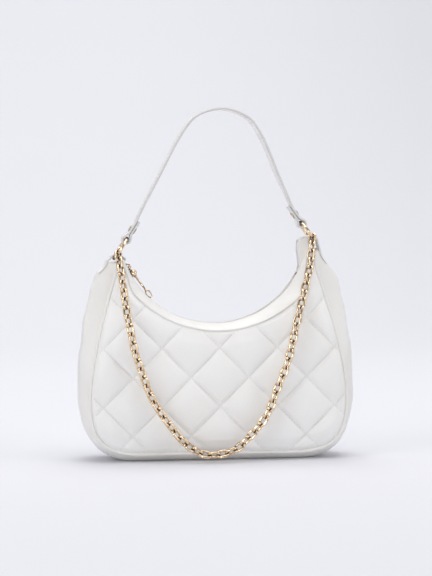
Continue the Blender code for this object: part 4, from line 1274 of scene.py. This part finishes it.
# The strap's rivets: brass, with a low domed cap on each face of a folded strap end. Each is pressed
# through both layers of the fold, close above its ring, and plated like the rings.
rivet_head_radius = 0.0034
rivet_head_height = 0.0011
rivet_from_ring = 0.0095
rivet_shank = 0.0013
rivet_crown = 0.0002
rivet_rim = 0.9
dome_steps = 8
rivet_half = strap_thickness + gap / 2 + gap
for label in ("left", "right"):
    wire, way = ring_top(label, 1)
    middle = wire + way * rivet_from_ring
    rivet_at = Matrix.Translation((middle.x, 0, middle.y)) @ Matrix.Rotation(
        -rings_at[label][1], 4, "Y"
    )
    dome = [(-rivet_half - rivet_head_height, rivet_crown)]
    for k in range(1, dome_steps + 1):
        bow = quarter * k / dome_steps
        dome.append((
            -rivet_half - rivet_head_height * math.cos(bow),
            rivet_head_radius * math.sin(bow),
        ))
    dome += [(-rivet_half, rivet_head_radius * rivet_rim), (-rivet_half, rivet_shank)]
    dome += [(-x, radius) for x, radius in reversed(dome)]
    bm = bmesh.new()
    turned_profile(bm, dome, rivet_at)
    wear(mesh_piece(f"{label}_rivet", bm), gold, "strap", "gold_metal", f"{label}_strap_rivet")


# The chain: oval links of round gold-plated wire, each turned a quarter from its neighbours, so
# that they lie half a quarter to the panel. Its end links hang on the rings and are of slightly
# thinner wire, which leaves the last links room to swing.
link_pitch = 0.0083
link_wire = 0.00125
end_link_wire = 0.00115
link_half_width = 0.0033
link_bite = 0.0004
hook_angle = math.radians(62)
twist_links = 5
chain_route = (
    (-0.0925, -0.0260, 0.1720), (-0.0903, -0.0340, 0.1510), (-0.0870, -0.0390, 0.1310),
    (-0.0825, -0.0400, 0.1085), (-0.0760, -0.0405, 0.0873), (-0.0683, -0.0405, 0.0665),
    (-0.0598, -0.0405, 0.0511), (-0.0494, -0.0405, 0.0367), (-0.0400, -0.0405, 0.0245),
    (-0.0305, -0.0405, 0.0158), (-0.0208, -0.0405, 0.0099), (-0.0110, -0.0405, 0.0079),
    (0.0002, -0.0405, 0.0086), (0.0135, -0.0405, 0.0130), (0.0269, -0.0405, 0.0250),
    (0.0384, -0.0405, 0.0380), (0.0461, -0.0405, 0.0514), (0.0538, -0.0405, 0.0721),
    (0.0615, -0.0405, 0.0910), (0.0672, -0.0400, 0.1120), (0.0720, -0.0390, 0.1330),
    (0.0770, -0.0350, 0.1500), (0.0830, -0.0270, 0.1687), (0.0885, -0.0190, 0.1870),
)


def link_placing(centre, along, flat):
    """A placing whose X runs along a link and whose Z is as near as it can be to flat."""
    x = along.normalized()
    z = (flat - x * flat.dot(x)).normalized()
    y = z.cross(x)
    return Matrix.Translation(centre) @ Matrix((x, y, z)).transposed().to_4x4()


front = Vector((0, -1, 0))
link_reach = (link_pitch + 2 * link_wire - link_bite) / 2
link_hold = link_reach - (link_wire + gap + ring_wire)
link_step = 2 * (link_reach - link_wire) - gap
route = [Vector(point) for point in chain_route]
firsts = []
for label, toward in (("left", route[0]), ("right", route[-1])):
    centre, lean = rings_at[label]
    way = Vector((-math.sin(lean), 0, math.cos(lean)))
    spot = centre + ring_radius * (front * math.sin(hook_angle) - way * math.cos(hook_angle))
    wire = way * math.sin(hook_angle) + front * math.cos(hook_angle)
    along = (toward - spot).normalized()
    middle = spot + along * link_hold
    bm = bmesh.new()
    end_outline = wire_outline(link_reach, link_half_width)
    wire_link(bm, end_outline, end_link_wire, link_placing(middle, along, wire))
    end_link = mesh_piece(f"{label}_end_link", bm)
    wear(end_link, gold, "bag", "gold_metal", f"{label}_chain_end_link")
    firsts.append((middle + along * link_step, wire))
drape = SewnLine([firsts[0][0]] + route + [firsts[1][0]])
link_count = 2 * round(drape.length / link_pitch / 2)
hung_reach = (drape.length / link_count + 2 * link_wire - link_bite) / 2
hung_outline = wire_outline(hung_reach, link_half_width)
bm = bmesh.new()
for i in range(link_count + 1):
    share = i / link_count
    along = drape.way(share)
    near = min(1.0, min(i, link_count - i) / twist_links)
    wire = firsts[0][1] if i < link_count / 2 else firsts[1][1]
    slanted = (front - along.cross(front)).normalized()
    face = (wire * (1 - near) + slanted * near).normalized()
    if i % 2 == 0:
        face = along.cross(face)
    wire_link(bm, hung_outline, link_wire, link_placing(drape.at(share), along, face))
wear(mesh_piece("swag_chain", bm), gold, "chain", "gold_metal", "hanging_chain")


# The lining: a pouch of plain woven cloth inside the panels and the side strip, sewn in at the
# mouth seams, with a slip pocket of the same cloth on its back wall.
lining_thickness = 0.0008
lining_clearance = 0.0007
lining_end = 0.05
lining_top = 0.10
lining_fold = 0.75
lining_waver = 0.0002
lining_grain = 40
padding_inside = 0.0030
pocket_top = 0.40
pocket_start = 10 / 26
pocket_width = 6 / 26
pocket_gap = 0.0009


def lining_spot(share, down):
    """A point of the lining's front wall, in step with the panel outside it."""
    outer = panel_seam.at(share) - panel_seam.out(share) * (piping_radius + gap + lining_clearance)
    flat = mouth_seam.at(share).lerp(outer, down)
    full = 1 - wing_share(share)
    depth = lip_depth(share) + (seam_depth(share) - lip_depth(share)) * ease(down)
    depth += panel_crown * 4 * down * (1 - down) * full
    depth += lining_waver * noise.noise(Vector((flat.x * lining_grain, 3, flat.y * lining_grain)))
    inside = depth - panel_thickness / 2 - padding_inside - 2 * lining_clearance
    return Vector((flat.x, -inside, flat.y))


def widest(rows):
    """The longest of a cloth's rows, which is the size that it is cut to."""
    return max(sum((b - a).length for a, b in zip(row, row[1:])) for row in rows)


lining_cloth = weave("lining_cloth", (0.78, 0.75, 0.68), 300, 0.0001)
lining_columns = 104
wall_rows = 12
foot_rows = 5
floor_rows = 8
grid = []
for i in range(lining_columns + 1):
    share = lining_end + (1 - 2 * lining_end) * i / lining_columns
    row = []
    for k in range(wall_rows + 1):
        row.append(lining_spot(share, lining_top + (lining_fold - lining_top) * k / wall_rows))
    corner = panel_seam.at(share) - panel_seam.out(share) * (piping_radius + lining_clearance)
    half = seam_depth(share) - panel_thickness / 2 - lining_clearance - piping_radius
    foot = Vector((corner.x, -half, corner.y))
    row += [row[-1].lerp(foot, k / foot_rows) for k in range(1, foot_rows + 1)]
    far_foot = Vector((foot.x, half, foot.z))
    floor_row = [foot.lerp(far_foot, k / floor_rows) for k in range(1, floor_rows)]
    grid.append(row + floor_row + [Vector((p.x, -p.y, p.z)) for p in reversed(row)])
pouch = sewn_sheet("cloth_pouch", grid, lining_thickness, 1)
wear(pouch, lining_cloth, "bag", "lining_cloth", "lining")
widest(grid)

pocket_columns = 24
grid = []
for j in range(wall_rows + 1):
    down = pocket_top + (lining_fold - pocket_top) * j / wall_rows
    row = []
    for i in range(pocket_columns + 1):
        along = pocket_start + pocket_width * i / pocket_columns
        share = lining_end + (1 - 2 * lining_end) * along
        spot = lining_spot(share, down)
        row.append(Vector((spot.x, -spot.y - lining_thickness - pocket_gap, spot.z)))
    grid.append(row)
pocket = sewn_sheet("cloth_pocket", grid, lining_thickness, 1)
wear(pocket, lining_cloth, "bag", "lining_cloth", "slip_pocket")
widest(grid)
widest(zip(*grid))
